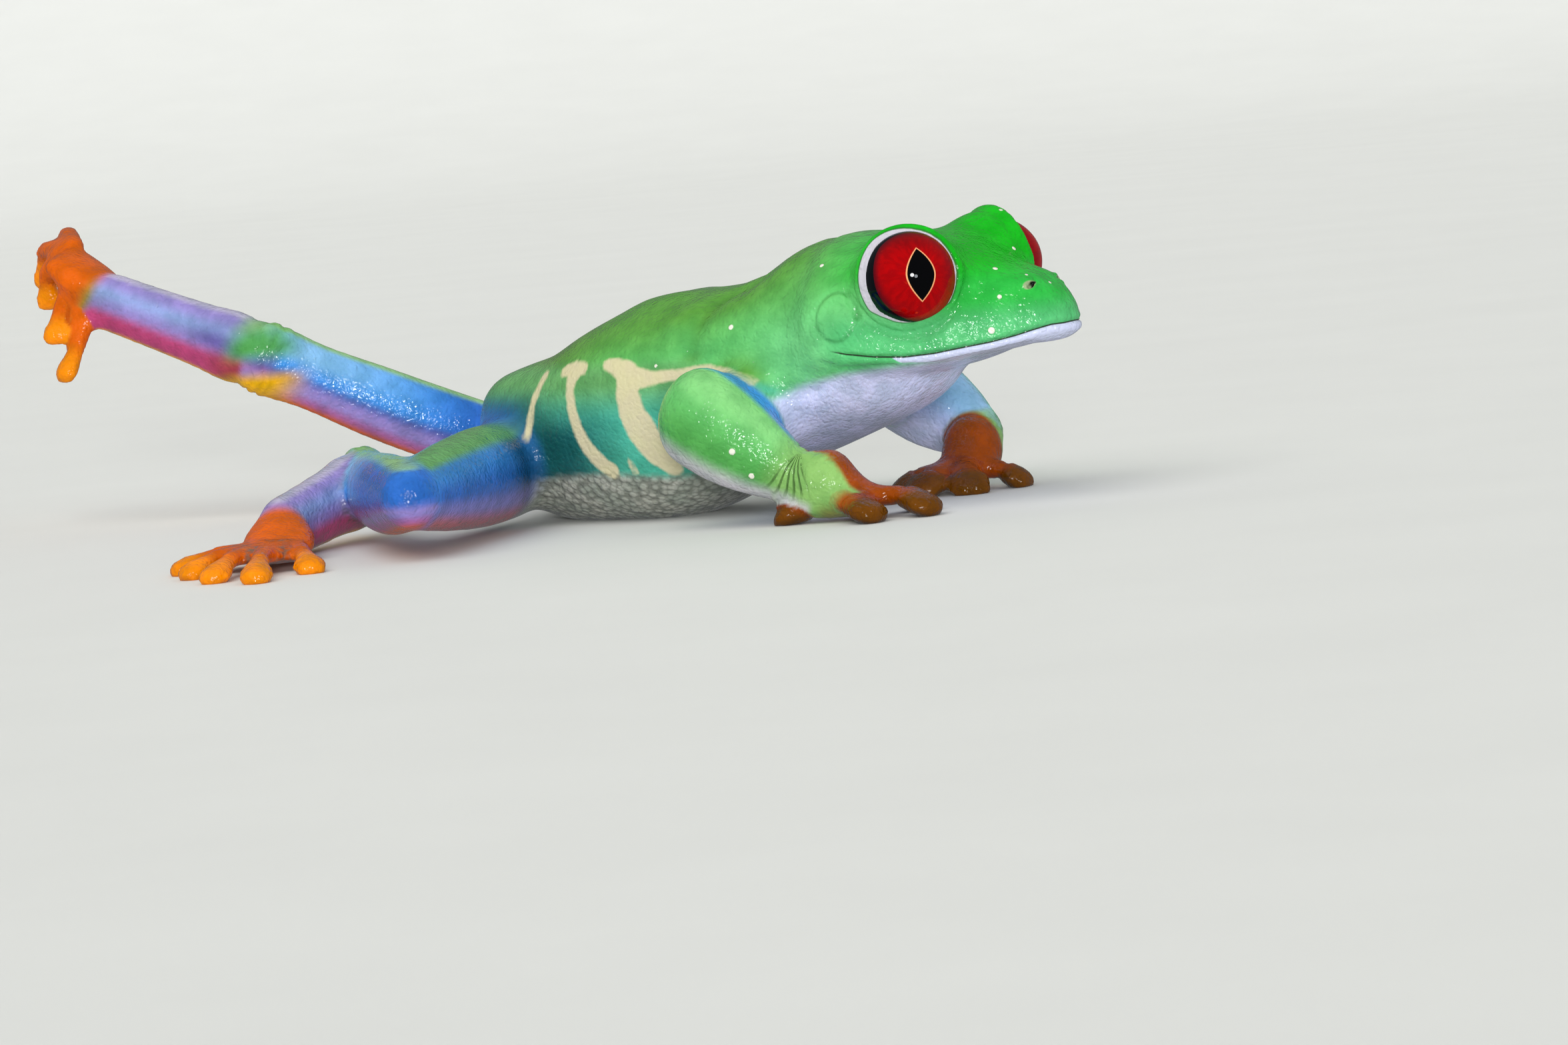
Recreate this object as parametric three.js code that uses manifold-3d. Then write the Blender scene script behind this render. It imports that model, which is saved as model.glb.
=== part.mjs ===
// A red-eyed tree frog at life size, resting on a flat floor with its left hind leg stretched out behind.
// Frame: millimetres, +X forward along the body, +Y to the frog's left, +Z up, the floor at z = 0.
// The origin lies on the small flat where the belly rests.
import * as THREE from "three";
import { mergeVertices } from "three/addons/utils/BufferGeometryUtils.js";
import Module from "manifold-3d";

// ---- Driving dimensions, mm ----
const EYE_CENTRE = [24.1, 6.4, 16.7]; // of the left eye; the right one mirrors it
const EYE_RADIUS = 3.45;
const EYE_TURN = 48; // degrees from straight ahead to the way the eye looks
const EYE_LIFT = 7; // degrees that it looks up
const CORNEA_BULGE = 0.25;
const LID_TURN = 68; // degrees from straight ahead to the way the lids open
const LID_RADII = [4.1, 3.95, 3.75]; // of the ball of skin that holds the eye
const LID_SETBACK = 1.15; // of that ball's centre behind the eye's
const TYMPANUM = { centre: [19.0, 9.15, 14.5], radius: 1.35, thick: 0.5 };
const NOSTRIL = { centre: [31.5, 2.55, 15.6], radius: 0.42 };
const MOUTH_GROOVE = 0.05; // depth of the lip line, as a share of the head's half-width
const GAP = 0.3; // left between neighbouring solids
const FLOOR = 0;

const SKIN = { roughness: 0.45, metalness: 0 };
const GREEN = 0x4fbf52;
const BLUE = 0x4f8fe0;
const ORANGE = 0xe0601a;
const EYE_RED = 0xa80c10;

// Head and trunk are rows of [x, half-width, centre height, rise above it, depth below it].
const HEAD_ROWS = [
  [33.8, 0.9, 12.6, 0.8, 0.6],
  [33.2, 2.0, 12.6, 1.7, 0.9],
  [32.6, 2.7, 12.5, 2.7, 1.05],
  [31.8, 3.4, 12.3, 3.7, 1.15],
  [30.9, 4.2, 12.1, 4.4, 1.2],
  [29.4, 5.3, 11.8, 5.3, 1.2],
  [27.9, 6.3, 11.6, 6.2, 1.25],
  [25.9, 7.4, 11.4, 7.5, 1.35],
  [23.9, 8.2, 11.3, 8.3, 1.5],
  [21.9, 8.8, 11.4, 8.4, 1.7],
  [19.9, 9.2, 11.6, 8.2, 2.0],
  [17.4, 9.3, 11.9, 7.8, 2.6],
  [14.9, 9.0, 12.0, 7.4, 3.2],
];
const TRUNK_ROWS = [
  [-16.9, 2.0, 7.2, 2.4, 3.0],
  [-14.5, 4.4, 6.9, 4.0, 4.7],
  [-12.0, 5.6, 6.7, 5.0, 5.8],
  [-9.0, 6.8, 6.7, 5.8, 6.8],
  [-6.0, 7.8, 7.0, 7.0, 7.4],
  [-3.0, 8.5, 7.4, 7.8, 7.85],
  [0.0, 8.9, 7.9, 8.1, 8.35],
  [3.5, 9.0, 8.5, 8.1, 8.2],
  [7.0, 8.7, 9.2, 8.1, 7.4],
  [10.5, 8.4, 10.0, 8.4, 6.7],
  [14.0, 8.3, 10.6, 8.4, 6.1],
  [17.0, 8.0, 10.4, 7.0, 4.8],
  [20.0, 6.8, 10.0, 4.0, 3.2],
  [22.3, 4.6, 9.8, 2.0, 1.4],
  [23.4, 3.0, 9.8, 0.8, 0.5],
];

// Each leg is a chain of joints, and each length has rows of [share of its length, half-width, half-height].
const ARM_ROWS = [
  [0, 2.6, 3.0],
  [0.5, 2.5, 2.8],
  [1, 2.7, 2.9],
];
const FOREARM_ROWS = [
  [0, 3.2, 3.5],
  [0.35, 3.0, 3.4],
  [0.75, 2.4, 2.7],
  [1, 1.7, 2.0],
];
const PALM_ROWS = [
  [0, 1.7, 1.9],
  [0.5, 2.2, 2.3],
  [0.8, 2.2, 2.1],
  [1, 2.1, 1.6],
];
const FINGER_ROWS = [
  [0, 1.0, 0.9],
  [0.35, 0.85, 0.75],
  [0.55, 1.15, 0.8],
  [0.75, 1.65, 0.9],
  [1, 1.6, 0.85],
];
const THIGH_ROWS = [
  [0, 3.2, 3.7],
  [0.3, 3.4, 3.7],
  [0.7, 2.8, 3.1],
  [1, 2.1, 2.3],
];
const SHANK_ROWS = [
  [0, 2.1, 2.2],
  [0.3, 2.6, 2.9],
  [0.6, 2.5, 2.95],
  [0.85, 1.9, 2.7],
  [1, 2.1, 3.0],
];
const TARSUS_ROWS = [
  [0, 1.9, 2.3],
  [0.2, 2.0, 2.9],
  [0.35, 1.9, 2.7],
  [0.7, 1.8, 2.5],
  [1, 1.8, 2.4],
];
const FOOT_ROWS = [
  [0, 1.8, 2.1],
  [0.5, 2.6, 1.6],
  [1, 2.8, 1.0],
];
const TOE_ROWS = [
  [0, 1.0, 0.85],
  [0.5, 0.8, 0.68],
  [0.75, 0.85, 0.65],
  [0.9, 1.3, 0.8],
  [1, 1.2, 0.75],
];

// The right limbs are drawn up under the body; the left arm is bent and the left hind leg lies back.
const ARMS = {
  r: {
    shoulder: [12.4, -6.6, 8.0],
    elbow: [9.3, -12.0, 7.6],
    wrist: [15.9, -11.3, 3.4],
    palm: [19.6, -9.9, 1.7],
    fingers: [
      [[20.4, -8.6, 1.5], [22.0, -6.6, 1.3], [23.2, -5.0, 0.4]],
      [[21.1, -9.5, 1.6], [23.2, -9.1, 1.5], [25.6, -9.0, 0.6]],
      [[19.7, -10.8, 1.6], [20.4, -12.0, 1.4], [22.9, -12.4, 0.6]],
      [[18.4, -10.6, 1.4], [16.9, -11.2, 1.1], [15.0, -11.2, 0.35]],
    ],
  },
  l: {
    shoulder: [12.4, 6.6, 8.0],
    elbow: [12.4, 13.4, 7.3],
    wrist: [18.7, 12.5, 3.7],
    palm: [19.2, 9.0, 1.8],
    fingers: [
      [[18.2, 7.8, 1.5], [16.6, 6.5, 1.3], [15.2, 5.7, 0.35]],
      [[18.9, 7.6, 1.5], [18.3, 5.6, 1.4], [17.9, 3.7, 0.35]],
      [[19.8, 7.8, 1.5], [20.7, 6.2, 1.4], [21.6, 4.7, 0.35]],
      [[20.6, 8.8, 1.5], [22.1, 8.9, 1.3], [23.6, 9.2, 0.35]],
    ],
  },
};
const HIND_LEGS = {
  r: {
    hip: [-12.4, -5.0, 4.2],
    knee: [-6.5, -27.0, 4.6],
    calf: [-14.2, -18.2, 4.1],
    heel: [-22.6, -8.6, 3.9],
    ankle: [-21.6, -21.2, 2.1],
    foot: [-19.2, -25.6, 1.1],
    toes: [
      [[-20.6, -26.0, 1.0], [-22.7, -28.6, 1.1], [-24.4, -30.6, 0.35]],
      [[-19.9, -26.9, 1.0], [-20.9, -30.6, 1.2], [-21.4, -33.6, 0.35]],
      [[-18.9, -27.3, 1.0], [-18.3, -32.2, 1.3], [-17.4, -36.4, 0.35]],
      [[-18.0, -27.0, 1.0], [-15.6, -32.6, 1.4], [-13.0, -37.4, 0.35]],
      [[-17.2, -26.2, 1.0], [-14.4, -29.4, 1.2], [-11.8, -32.2, 0.35]],
    ],
  },
  l: {
    hip: [-12.4, 5.0, 4.2],
    knee: [-26.0, 25.2, 2.1],
    calf: [-34.2, 18.8, 6.2],
    heel: [-44.3, 11.0, 12.6],
    ankle: [-58.0, 9.9, 17.9],
    foot: [-62.3, 10.8, 21.1],
    toes: [
      [[-60.2, 9.6, 18.3], [-59.9, 8.0, 15.2], [-60.5, 6.3, 12.4]],
      [[-61.3, 9.9, 19.6], [-62.1, 8.7, 17.6], [-62.0, 7.5, 15.4]],
      [[-62.9, 11.0, 20.9], [-65.0, 11.3, 20.6], [-65.3, 11.6, 18.0]],
      [[-63.6, 11.7, 21.9], [-67.0, 14.0, 22.2], [-68.6, 16.0, 19.4]],
      [[-63.0, 12.4, 22.4], [-65.9, 15.8, 23.4], [-68.4, 18.4, 22.0]],
    ],
  },
};

const wasm = await Module();
wasm.setup();

// ---- Helpers ----

// The value of column k in rows keyed by column 0, along a smooth curve through the rows.
function valueAt(rows, key, k) {
  const rising = rows[0][0] < rows[rows.length - 1][0] ? rows : [...rows].reverse();
  const last = rising.length - 1;
  const x = THREE.MathUtils.clamp(key, rising[0][0], rising[last][0]);
  const i = Math.min(last - 1, Math.max(0, rising.findIndex((row) => row[0] > x) - 1));
  const j = x >= rising[last][0] ? last - 1 : i;
  const slope = (n) => {
    const before = rising[Math.max(0, n - 1)];
    const after = rising[Math.min(last, n + 1)];
    return (after[k] - before[k]) / (after[0] - before[0]);
  };
  const [a, b] = [rising[j], rising[j + 1]];
  const span = b[0] - a[0];
  const t = (x - a[0]) / span;
  const curve = (2 * t ** 3 - 3 * t ** 2 + 1) * a[k] + (3 * t ** 2 - 2 * t ** 3) * b[k];
  return curve + span * ((t ** 3 - 2 * t ** 2 + t) * slope(j) + (t ** 3 - t ** 2) * slope(j + 1));
}

// A closed body made from the lattice of a ball: place(share, cosine, sine) gives each lattice point its
// position, where share runs from one pole (0) to the other (1) along the body.
function remappedBall(around, along, place) {
  const geometry = new THREE.SphereGeometry(1, around, along);
  geometry.deleteAttribute("normal");
  geometry.deleteAttribute("uv");
  const points = geometry.attributes.position;
  for (let i = 0; i < points.count; i += 1) {
    const y = THREE.MathUtils.clamp(points.getY(i), -1, 1);
    const ring = Math.sqrt(1 - y * y);
    const turn = Math.atan2(points.getZ(i), points.getX(i));
    const spot = place((1 - y) / 2, ring > 1e-6 ? Math.cos(turn) : 0, ring > 1e-6 ? Math.sin(turn) : 0);
    points.setXYZ(i, spot.x, spot.y, Math.max(FLOOR, spot.z));
  }
  return mergeVertices(geometry, 1e-4);
}

// The share of the full section that a rounded end leaves at a place that is `inside` from the end.
function roundedEnd(inside, length) {
  const out = THREE.MathUtils.clamp(1 - inside / length, 0, 1);
  return Math.sqrt(1 - out * out);
}

// A limb, palm or digit: an oval section swept along a smooth curve through the joints, with round ends.
function limb(joints, rows, { around = 10, along = 9, grow = 0 } = {}) {
  const path = new THREE.CatmullRomCurve3(joints.map((joint) => new THREE.Vector3(...joint)));
  const length = path.getLength();
  const caps = [rows[0], rows[rows.length - 1]].map((row) => Math.min(row[1], row[2]) + grow);
  const up = new THREE.Vector3(0, 0, 1);
  return remappedBall(around, along, (share, cosine, sine) => {
    const place = share * (length + caps[0] + caps[1]) - caps[0];
    const inside = THREE.MathUtils.clamp(place / length, 0, 1);
    const centre = path.getPointAt(inside);
    const tangent = path.getTangentAt(inside);
    centre.addScaledVector(tangent, place - inside * length);
    const side = new THREE.Vector3().crossVectors(up, tangent).normalize();
    const top = new THREE.Vector3().crossVectors(tangent, side);
    const cap = roundedEnd(place + caps[0], caps[0]) * roundedEnd(length + caps[1] - place, caps[1]);
    centre.addScaledVector(side, cosine * cap * (valueAt(rows, inside, 1) + grow));
    return centre.addScaledVector(top, sine * cap * (valueAt(rows, inside, 2) + grow));
  });
}

// The head or the trunk: sections square to X, each with its own height above and below its centre.
function torso(rows, { around, along, cap, squareness, groove = 0, grow = 0 }) {
  const [front, back] = [rows[0][0], rows[rows.length - 1][0]].sort((a, b) => b - a);
  return remappedBall(around, along, (share, cosine, sine) => {
    const x = front + grow - share * (front - back + 2 * grow);
    const ends = roundedEnd(front + grow - x, cap[0]) * roundedEnd(x - back + grow, cap[1]);
    const bent = (value) => Math.sign(value) * Math.abs(value) ** squareness;
    const lip = 1 - groove * Math.exp(-((sine / 0.12) ** 2));
    const height = valueAt(rows, x, sine > 0 ? 3 : 4) + grow;
    return new THREE.Vector3(
      x,
      -bent(cosine) * lip * ends * (valueAt(rows, x, 1) + grow),
      valueAt(rows, x, 2) + bent(sine) * ends * height,
    );
  });
}

// A ball moved to a centre and scaled along its axes.
function ball(centre, radii, around = 16, along = 12) {
  return new THREE.SphereGeometry(1, around, along).scale(...radii).translate(...centre);
}

// The way that one eye looks or its lids open, as a unit vector: side is +1 on the left and -1 on the right.
function eyeAxis(side, degrees = EYE_TURN) {
  const turn = THREE.MathUtils.degToRad(degrees);
  const lift = THREE.MathUtils.degToRad(EYE_LIFT);
  return new THREE.Vector3(
    Math.cos(turn) * Math.cos(lift),
    side * Math.sin(turn) * Math.cos(lift),
    Math.sin(lift),
  );
}

// The mirror image of a place on the left for side -1, and the place itself for side +1.
function onSide([x, y, z], side) {
  return [x, side * y, z];
}

// An eyeball with the low dome of its cornea turned along the eye's axis.
function eyeball(side, grow = 0) {
  const axis = eyeAxis(side);
  const turned = new THREE.Quaternion().setFromUnitVectors(new THREE.Vector3(0, 1, 0), axis);
  const centre = new THREE.Vector3(...onSide(EYE_CENTRE, side));
  return remappedBall(16, 11, (share, cosine, sine) => {
    const polar = Math.acos(1 - 2 * share);
    const radius = EYE_RADIUS + grow + CORNEA_BULGE * Math.exp(-((polar / 0.75) ** 2));
    const ring = Math.sin(polar) * radius;
    const spot = new THREE.Vector3(cosine * ring, Math.cos(polar) * radius, sine * ring);
    return spot.applyQuaternion(turned).add(centre);
  });
}

// A geometry as a solid that can be joined and cut.
function solid(geometry) {
  const bare = geometry.clone();
  bare.deleteAttribute("normal");
  bare.deleteAttribute("uv");
  const merged = mergeVertices(bare, 1e-4);
  return new wasm.Manifold(
    new wasm.Mesh({
      numProp: 3,
      vertProperties: merged.attributes.position.array,
      triVerts: new Uint32Array(merged.index.array),
    }),
  );
}

// A solid as a geometry again.
function geometryOf(made) {
  const mesh = made.getMesh();
  const geometry = new THREE.BufferGeometry();
  geometry.setAttribute("position", new THREE.BufferAttribute(mesh.vertProperties, 3));
  geometry.setIndex(new THREE.BufferAttribute(mesh.triVerts, 1));
  return geometry;
}

const frog = new THREE.Group();
const grownNeighbours = [];

// Adds one node, cut back by a gap from every node added before it. make(grow) gives its solid, grown.
function addNode(name, colour, make) {
  const cut = grownNeighbours.reduce((rest, neighbour) => rest.subtract(neighbour), make(0));
  const mesh = new THREE.Mesh(geometryOf(cut), new THREE.MeshStandardMaterial({ ...SKIN, color: colour }));
  mesh.name = name;
  frog.add(mesh);
  grownNeighbours.push(make(GAP));
}

// ---- Eyes ----
const SIDES = { l: 1, r: -1 };
for (const [letter, side] of Object.entries(SIDES)) {
  addNode(`eye_${letter}`, EYE_RED, (grow) => solid(eyeball(side, grow)));
}

// ---- Head, with its eyelids, ear discs and nostrils ----
function headSolid(grow) {
  const skull = { around: 26, along: 19, cap: [0.7, 1.5], squareness: 0.86, groove: MOUTH_GROOVE, grow };
  let made = solid(torso(HEAD_ROWS, skull));
  for (const side of Object.values(SIDES)) {
    const setback = eyeAxis(side, LID_TURN).multiplyScalar(-LID_SETBACK);
    const lid = new THREE.Vector3(...onSide(EYE_CENTRE, side)).add(setback).toArray();
    const ear = [TYMPANUM.radius, TYMPANUM.thick, TYMPANUM.radius].map((r) => r + grow);
    const lidRadii = LID_RADII.map((r) => r + grow);
    made = made.add(solid(ball(lid, lidRadii, 14, 10)));
    made = made.add(solid(ball(onSide(TYMPANUM.centre, side), ear, 10, 6)));
    if (grow === 0) {
      made = made.subtract(solid(ball(onSide(NOSTRIL.centre, side), Array(3).fill(NOSTRIL.radius), 6, 5)));
    }
  }
  return made;
}
addNode("head", GREEN, headSolid);

// ---- Trunk, from the throat to the rump ----
const TRUNK_SHAPE = { around: 24, along: 18, cap: [2, 3], squareness: 0.88 };
addNode("trunk", GREEN, (grow) => solid(torso(TRUNK_ROWS, { ...TRUNK_SHAPE, grow })));

// ---- Arms, hands and fingers ----
for (const letter of Object.keys(SIDES)) {
  const arm = ARMS[letter];
  const lengths = [
    ["upper_arm", GREEN, [arm.shoulder, arm.elbow], ARM_ROWS],
    ["forearm", GREEN, [arm.elbow, arm.wrist], FOREARM_ROWS],
    ["hand", ORANGE, [arm.wrist, arm.palm], PALM_ROWS],
  ];
  for (const [name, colour, joints, rows] of lengths) {
    addNode(`${name}_${letter}`, colour, (grow) => solid(limb(joints, rows, { grow })));
  }
  arm.fingers.forEach((joints, i) => {
    const small = { around: 8, along: 7 };
    const make = (grow) => solid(limb(joints, FINGER_ROWS, { ...small, grow }));
    addNode(`finger_${letter}_${i + 1}`, ORANGE, make);
  });
}

// ---- Hind legs, feet and toes ----
for (const letter of Object.keys(SIDES)) {
  const leg = HIND_LEGS[letter];
  const lengths = [
    ["thigh", BLUE, [leg.hip, leg.knee], THIGH_ROWS],
    ["shank", BLUE, [leg.knee, leg.calf, leg.heel], SHANK_ROWS],
    ["tarsus", BLUE, [leg.heel, leg.ankle], TARSUS_ROWS],
    ["foot", ORANGE, [leg.ankle, leg.foot], FOOT_ROWS],
  ];
  for (const [name, colour, joints, rows] of lengths) {
    addNode(`${name}_${letter}`, colour, (grow) => solid(limb(joints, rows, { grow })));
  }
  leg.toes.forEach((joints, i) => {
    const small = { around: 8, along: 7 };
    const make = (grow) => solid(limb(joints, TOE_ROWS, { ...small, grow }));
    addNode(`toe_${letter}_${i + 1}`, ORANGE, make);
  });
}

export default frog;
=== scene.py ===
# %% [markdown]
# # A red-eyed tree frog at life size
# This lesson makes a still model of a red-eyed tree frog, such as a natural history museum casts and
# paints. The plain solids of the model come from its construction file. Here they are covered with one
# seamless skin, given detailed eyes and painted. Sizes are millimetres while a piece is shaped, since a
# frog is small and whole numbers are easier to read, and each finished piece is then scaled to metres.

import math

import bmesh
import bpy
import numpy as np
from mathutils import Matrix, Vector


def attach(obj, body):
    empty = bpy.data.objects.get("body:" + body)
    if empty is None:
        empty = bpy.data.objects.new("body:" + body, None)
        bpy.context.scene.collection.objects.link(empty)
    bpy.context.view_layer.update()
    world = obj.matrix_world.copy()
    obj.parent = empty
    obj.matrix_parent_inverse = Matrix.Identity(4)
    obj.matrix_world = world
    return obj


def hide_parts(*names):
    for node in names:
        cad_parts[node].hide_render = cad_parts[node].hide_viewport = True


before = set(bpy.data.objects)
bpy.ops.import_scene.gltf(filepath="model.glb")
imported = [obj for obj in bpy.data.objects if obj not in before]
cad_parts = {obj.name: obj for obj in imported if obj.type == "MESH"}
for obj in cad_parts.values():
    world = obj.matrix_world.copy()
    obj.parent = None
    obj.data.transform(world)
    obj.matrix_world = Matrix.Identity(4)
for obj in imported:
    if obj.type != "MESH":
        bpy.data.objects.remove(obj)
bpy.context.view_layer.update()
MM = 0.001
SIDES = {"l": 1, "r": -1}

# %% [markdown]
# ## Stage
# The stage is a small studio with a camera, five lamps and a pale floor. The lens is long and stands low,
# which keeps a small animal's proportions natural. The camera is turned a little about its own axis, so
# that the level frog looks as if it sat on a slope. Its matrix is built from three directions: right, up
# and back.


# %% Camera
CAMERA_PLACE = Vector((219.929, -366.513, 37.469)) * MM
CAMERA_TURN = math.radians(30.0)
CAMERA_LIFT = math.radians(5.2)
CAMERA_ROLL = math.radians(5.2)
LENS = 132.41
SENSOR = 36.0

level_right = Vector((math.cos(CAMERA_TURN), math.sin(CAMERA_TURN), 0))
back = Vector(
    (
        math.sin(CAMERA_TURN) * math.cos(CAMERA_LIFT),
        -math.cos(CAMERA_TURN) * math.cos(CAMERA_LIFT),
        math.sin(CAMERA_LIFT),
    )
)
level_up = back.cross(level_right)
right = level_right * math.cos(CAMERA_ROLL) - level_up * math.sin(CAMERA_ROLL)
up = level_up * math.cos(CAMERA_ROLL) + level_right * math.sin(CAMERA_ROLL)

camera = bpy.data.objects.new("camera", bpy.data.cameras.new("camera"))
bpy.context.collection.objects.link(camera)
camera.data.lens = LENS
camera.data.sensor_width = SENSOR
camera.data.clip_start = 0.01
camera.data.clip_end = 60.0
camera.matrix_world = Matrix.Translation(CAMERA_PLACE) @ Matrix((right, up, back)).transposed().to_4x4()
bpy.context.scene.camera = camera
print("camera looks along", [round(v, 3) for v in -back])

# %% [markdown]
# The light is soft. A distant flash stands near the camera with a weaker bounce beside it. These two are
# the only lamps that show in reflections, and they give the eye its catch light and the wet skin its
# glints. A wide key from the front and above gives the form and lights the floor alike near and far. A
# fill on the far side opens the shadows, and a lamp behind draws a rim.


# %% Lights
SUBJECT = Vector((5, -2, 9)) * MM
SKY_COLOUR = (0.92, 0.96, 1.0, 1)
SKY_STRENGTH = 0.18


def lamp(name, place, strength, colour, angle, glints=False):
    """A far, even light that shines from a place towards the frog. The angle is how wide it looks."""
    light = bpy.data.lights.new(name, "SUN")
    light.energy = strength
    light.color = colour
    light.angle = math.radians(angle)
    made = bpy.data.objects.new(name, light)
    bpy.context.collection.objects.link(made)
    made.location = place
    made.rotation_mode = "QUATERNION"
    made.rotation_quaternion = (SUBJECT - made.location).to_track_quat("-Z", "Y")
    made.visible_glossy = glints


lamp("flash", (0.505, -0.86, 0.19), 1.3, (1.0, 1.0, 1.0), 10, glints=True)
lamp("flash bounce", (0.66, -0.775, 0.12), 0.35, (0.9, 0.95, 1.0), 9, glints=True)
lamp("key", (-0.10, -0.62, 0.95), 1.7, (1.0, 0.985, 0.95), 60)
lamp("fill", (0.80, 0.25, 0.60), 0.7, (0.95, 0.98, 1.0), 80)
lamp("rim", (-0.55, 0.55, 0.60), 0.6, (1.0, 0.97, 0.9), 60)

world = bpy.data.worlds.new("studio")
world.use_nodes = True
sky = world.node_tree.nodes["Background"].inputs
sky["Color"].default_value = SKY_COLOUR
sky["Strength"].default_value = SKY_STRENGTH
bpy.context.scene.world = world
bpy.context.scene.view_settings.view_transform = "Standard"  # paints come out as they are mixed
print("lamps:", len(bpy.data.lights))

# %% [markdown]
# ## Node helpers
# A material is a small graph. These helpers keep each graph readable: one adds a node with its settings
# and wires, and the others are the nodes that recur, such as a sum, a mix, a soft mask, a noise and a
# pattern of cells. A wire is given as the socket that it comes from.


# %% Node helpers
def node(tree, kind, wires=None, **settings):
    """Adds a node, applies its settings, and fills its inputs with values or with wires from sockets."""
    made = tree.nodes.new(kind)
    for key, value in settings.items():
        setattr(made, key, value)
    for key, value in (wires or {}).items():
        if isinstance(value, bpy.types.NodeSocket):
            tree.links.new(value, made.inputs[key])
        else:
            made.inputs[key].default_value = value
    return made


def maths(tree, operation, first, second=0.0, third=0.0):
    """The result socket of a maths node."""
    return node(tree, "ShaderNodeMath", {0: first, 1: second, 2: third}, operation=operation).outputs[0]


def vectors(tree, operation, first, second=(0, 0, 0), output=0):
    """A result socket of a vector maths node: the vector, or the value of a length."""
    return node(tree, "ShaderNodeVectorMath", {0: first, 1: second}, operation=operation).outputs[output]


def times(tree, first, second):
    """The product of two values."""
    return maths(tree, "MULTIPLY", first, second)


def minus(tree, first, second):
    """The difference of two values."""
    return maths(tree, "SUBTRACT", first, second)


def smooth_step(tree, value, low, high):
    """A smooth mask from 0 at low to 1 at high."""
    made = node(tree, "ShaderNodeMapRange", {0: value, 1: low, 2: high, 3: 0.0, 4: 1.0})
    made.interpolation_type = "SMOOTHSTEP"
    return made.outputs[0]


def noise(tree, place, scale, detail, output="Fac"):
    """A socket of a soft noise: its value from 0 to 1, or its colour."""
    made = node(tree, "ShaderNodeTexNoise", {"Vector": place, "Scale": scale, "Detail": detail})
    return made.outputs[output]


def cells(tree, place, scale, feature):
    """The distance in a pattern of cells: to the edge of each cell or to its middle."""
    made = node(tree, "ShaderNodeTexVoronoi", {"Vector": place, "Scale": scale}, feature=feature)
    return made.outputs["Distance"]


def blend(tree, share, first, second, mode="MIX"):
    """The result socket of a colour mix: first where share is 0, second where it is 1."""
    made = node(tree, "ShaderNodeMix", {0: share, 6: first, 7: second}, data_type="RGBA", blend_type=mode)
    return made.outputs[2]


# %% Paints, materials and pieces
def shade(hexcode):
    """A paint colour, written as a web colour, as the linear colour that a shader takes."""
    parts = [int(hexcode[i : i + 2], 16) / 255 for i in (1, 3, 5)]
    return tuple(p / 12.92 if p <= 0.04045 else ((p + 0.055) / 1.055) ** 2.4 for p in parts) + (1.0,)


def new_material(name, roughness, coat=0.0, coat_roughness=0.05):
    """A new material, its node tree, its shader and its coordinates in millimetres."""
    material = bpy.data.materials.new(name)
    material.use_nodes = True
    tree = material.node_tree
    shader = tree.nodes["Principled BSDF"]
    shader.inputs["Roughness"].default_value = roughness
    shader.inputs["Coat Weight"].default_value = coat
    shader.inputs["Coat Roughness"].default_value = coat_roughness
    place = node(tree, "ShaderNodeTexCoord").outputs["Object"]
    scaled = node(tree, "ShaderNodeMapping", {"Vector": place, "Scale": (1 / MM,) * 3}).outputs[0]
    return material, tree, shader, scaled


def finish_piece(name, mesh, material, replaced=()):
    """Turns a mesh in millimetres into a finished piece in metres that rides on the model's one body."""
    mesh.transform(Matrix.Scale(MM, 4))
    mesh.materials.clear()
    mesh.materials.append(material)
    mesh.shade_smooth()
    piece = bpy.data.objects.new(name, mesh)
    bpy.context.collection.objects.link(piece)
    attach(piece, "root")
    if replaced:
        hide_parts(*replaced)
    triangles = sum(len(face.vertices) - 2 for face in mesh.polygons)
    print(name, "has", triangles, "triangles")


print("a mid grey is", [round(value, 3) for value in shade("#808080")[:3]])

# %% [markdown]
# The floor is one pale sheet. It lies flat under the frog and sweeps up behind it, as a studio's paper
# backdrop does, so that no edge shows.

# %% Floor
FLOOR_REACH = 8.0
SWEEP_START = 0.8
SWEEP_RADIUS = 1.0
SWEEP_STEPS = 24
BACKDROP_HEIGHT = 4.0

away = Vector((-math.sin(CAMERA_TURN), math.cos(CAMERA_TURN), 0))
profile = [(-FLOOR_REACH, 0.0), (0.0, 0.0)]
for k in range(SWEEP_STEPS + 1):
    bend = math.radians(90 * k / SWEEP_STEPS)
    rise = SWEEP_RADIUS * (1 - math.cos(bend))
    profile.append((SWEEP_START + SWEEP_RADIUS * math.sin(bend), rise))
profile.append((SWEEP_START + SWEEP_RADIUS, BACKDROP_HEIGHT))

floor_mesh = bpy.data.meshes.new("floor")
work = bmesh.new()
sides = []
for reach in (-FLOOR_REACH, FLOOR_REACH):
    edge = [away * far + level_right * reach + Vector((0, 0, rise)) for far, rise in profile]
    sides.append([work.verts.new(spot) for spot in edge])
for k in range(len(profile) - 1):
    work.faces.new([sides[0][k], sides[1][k], sides[1][k + 1], sides[0][k + 1]]).smooth = True
work.to_mesh(floor_mesh)
work.free()
floor_paint, tree, shader, scaled = new_material("pale floor", 0.7)
speckle = noise(tree, scaled, 0.05, 3.0)
tone = blend(tree, speckle, shade("#DEDFDC"), shade("#E4E5E2"))
tree.links.new(tone, shader.inputs["Base Color"])
floor_mesh.materials.append(floor_paint)
floor = bpy.data.objects.new("floor", floor_mesh)
bpy.context.collection.objects.link(floor)
floor.visible_glossy = False  # no pale veil over wet colours
print("floor sweeps up", SWEEP_START, "m behind the frog")

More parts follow.
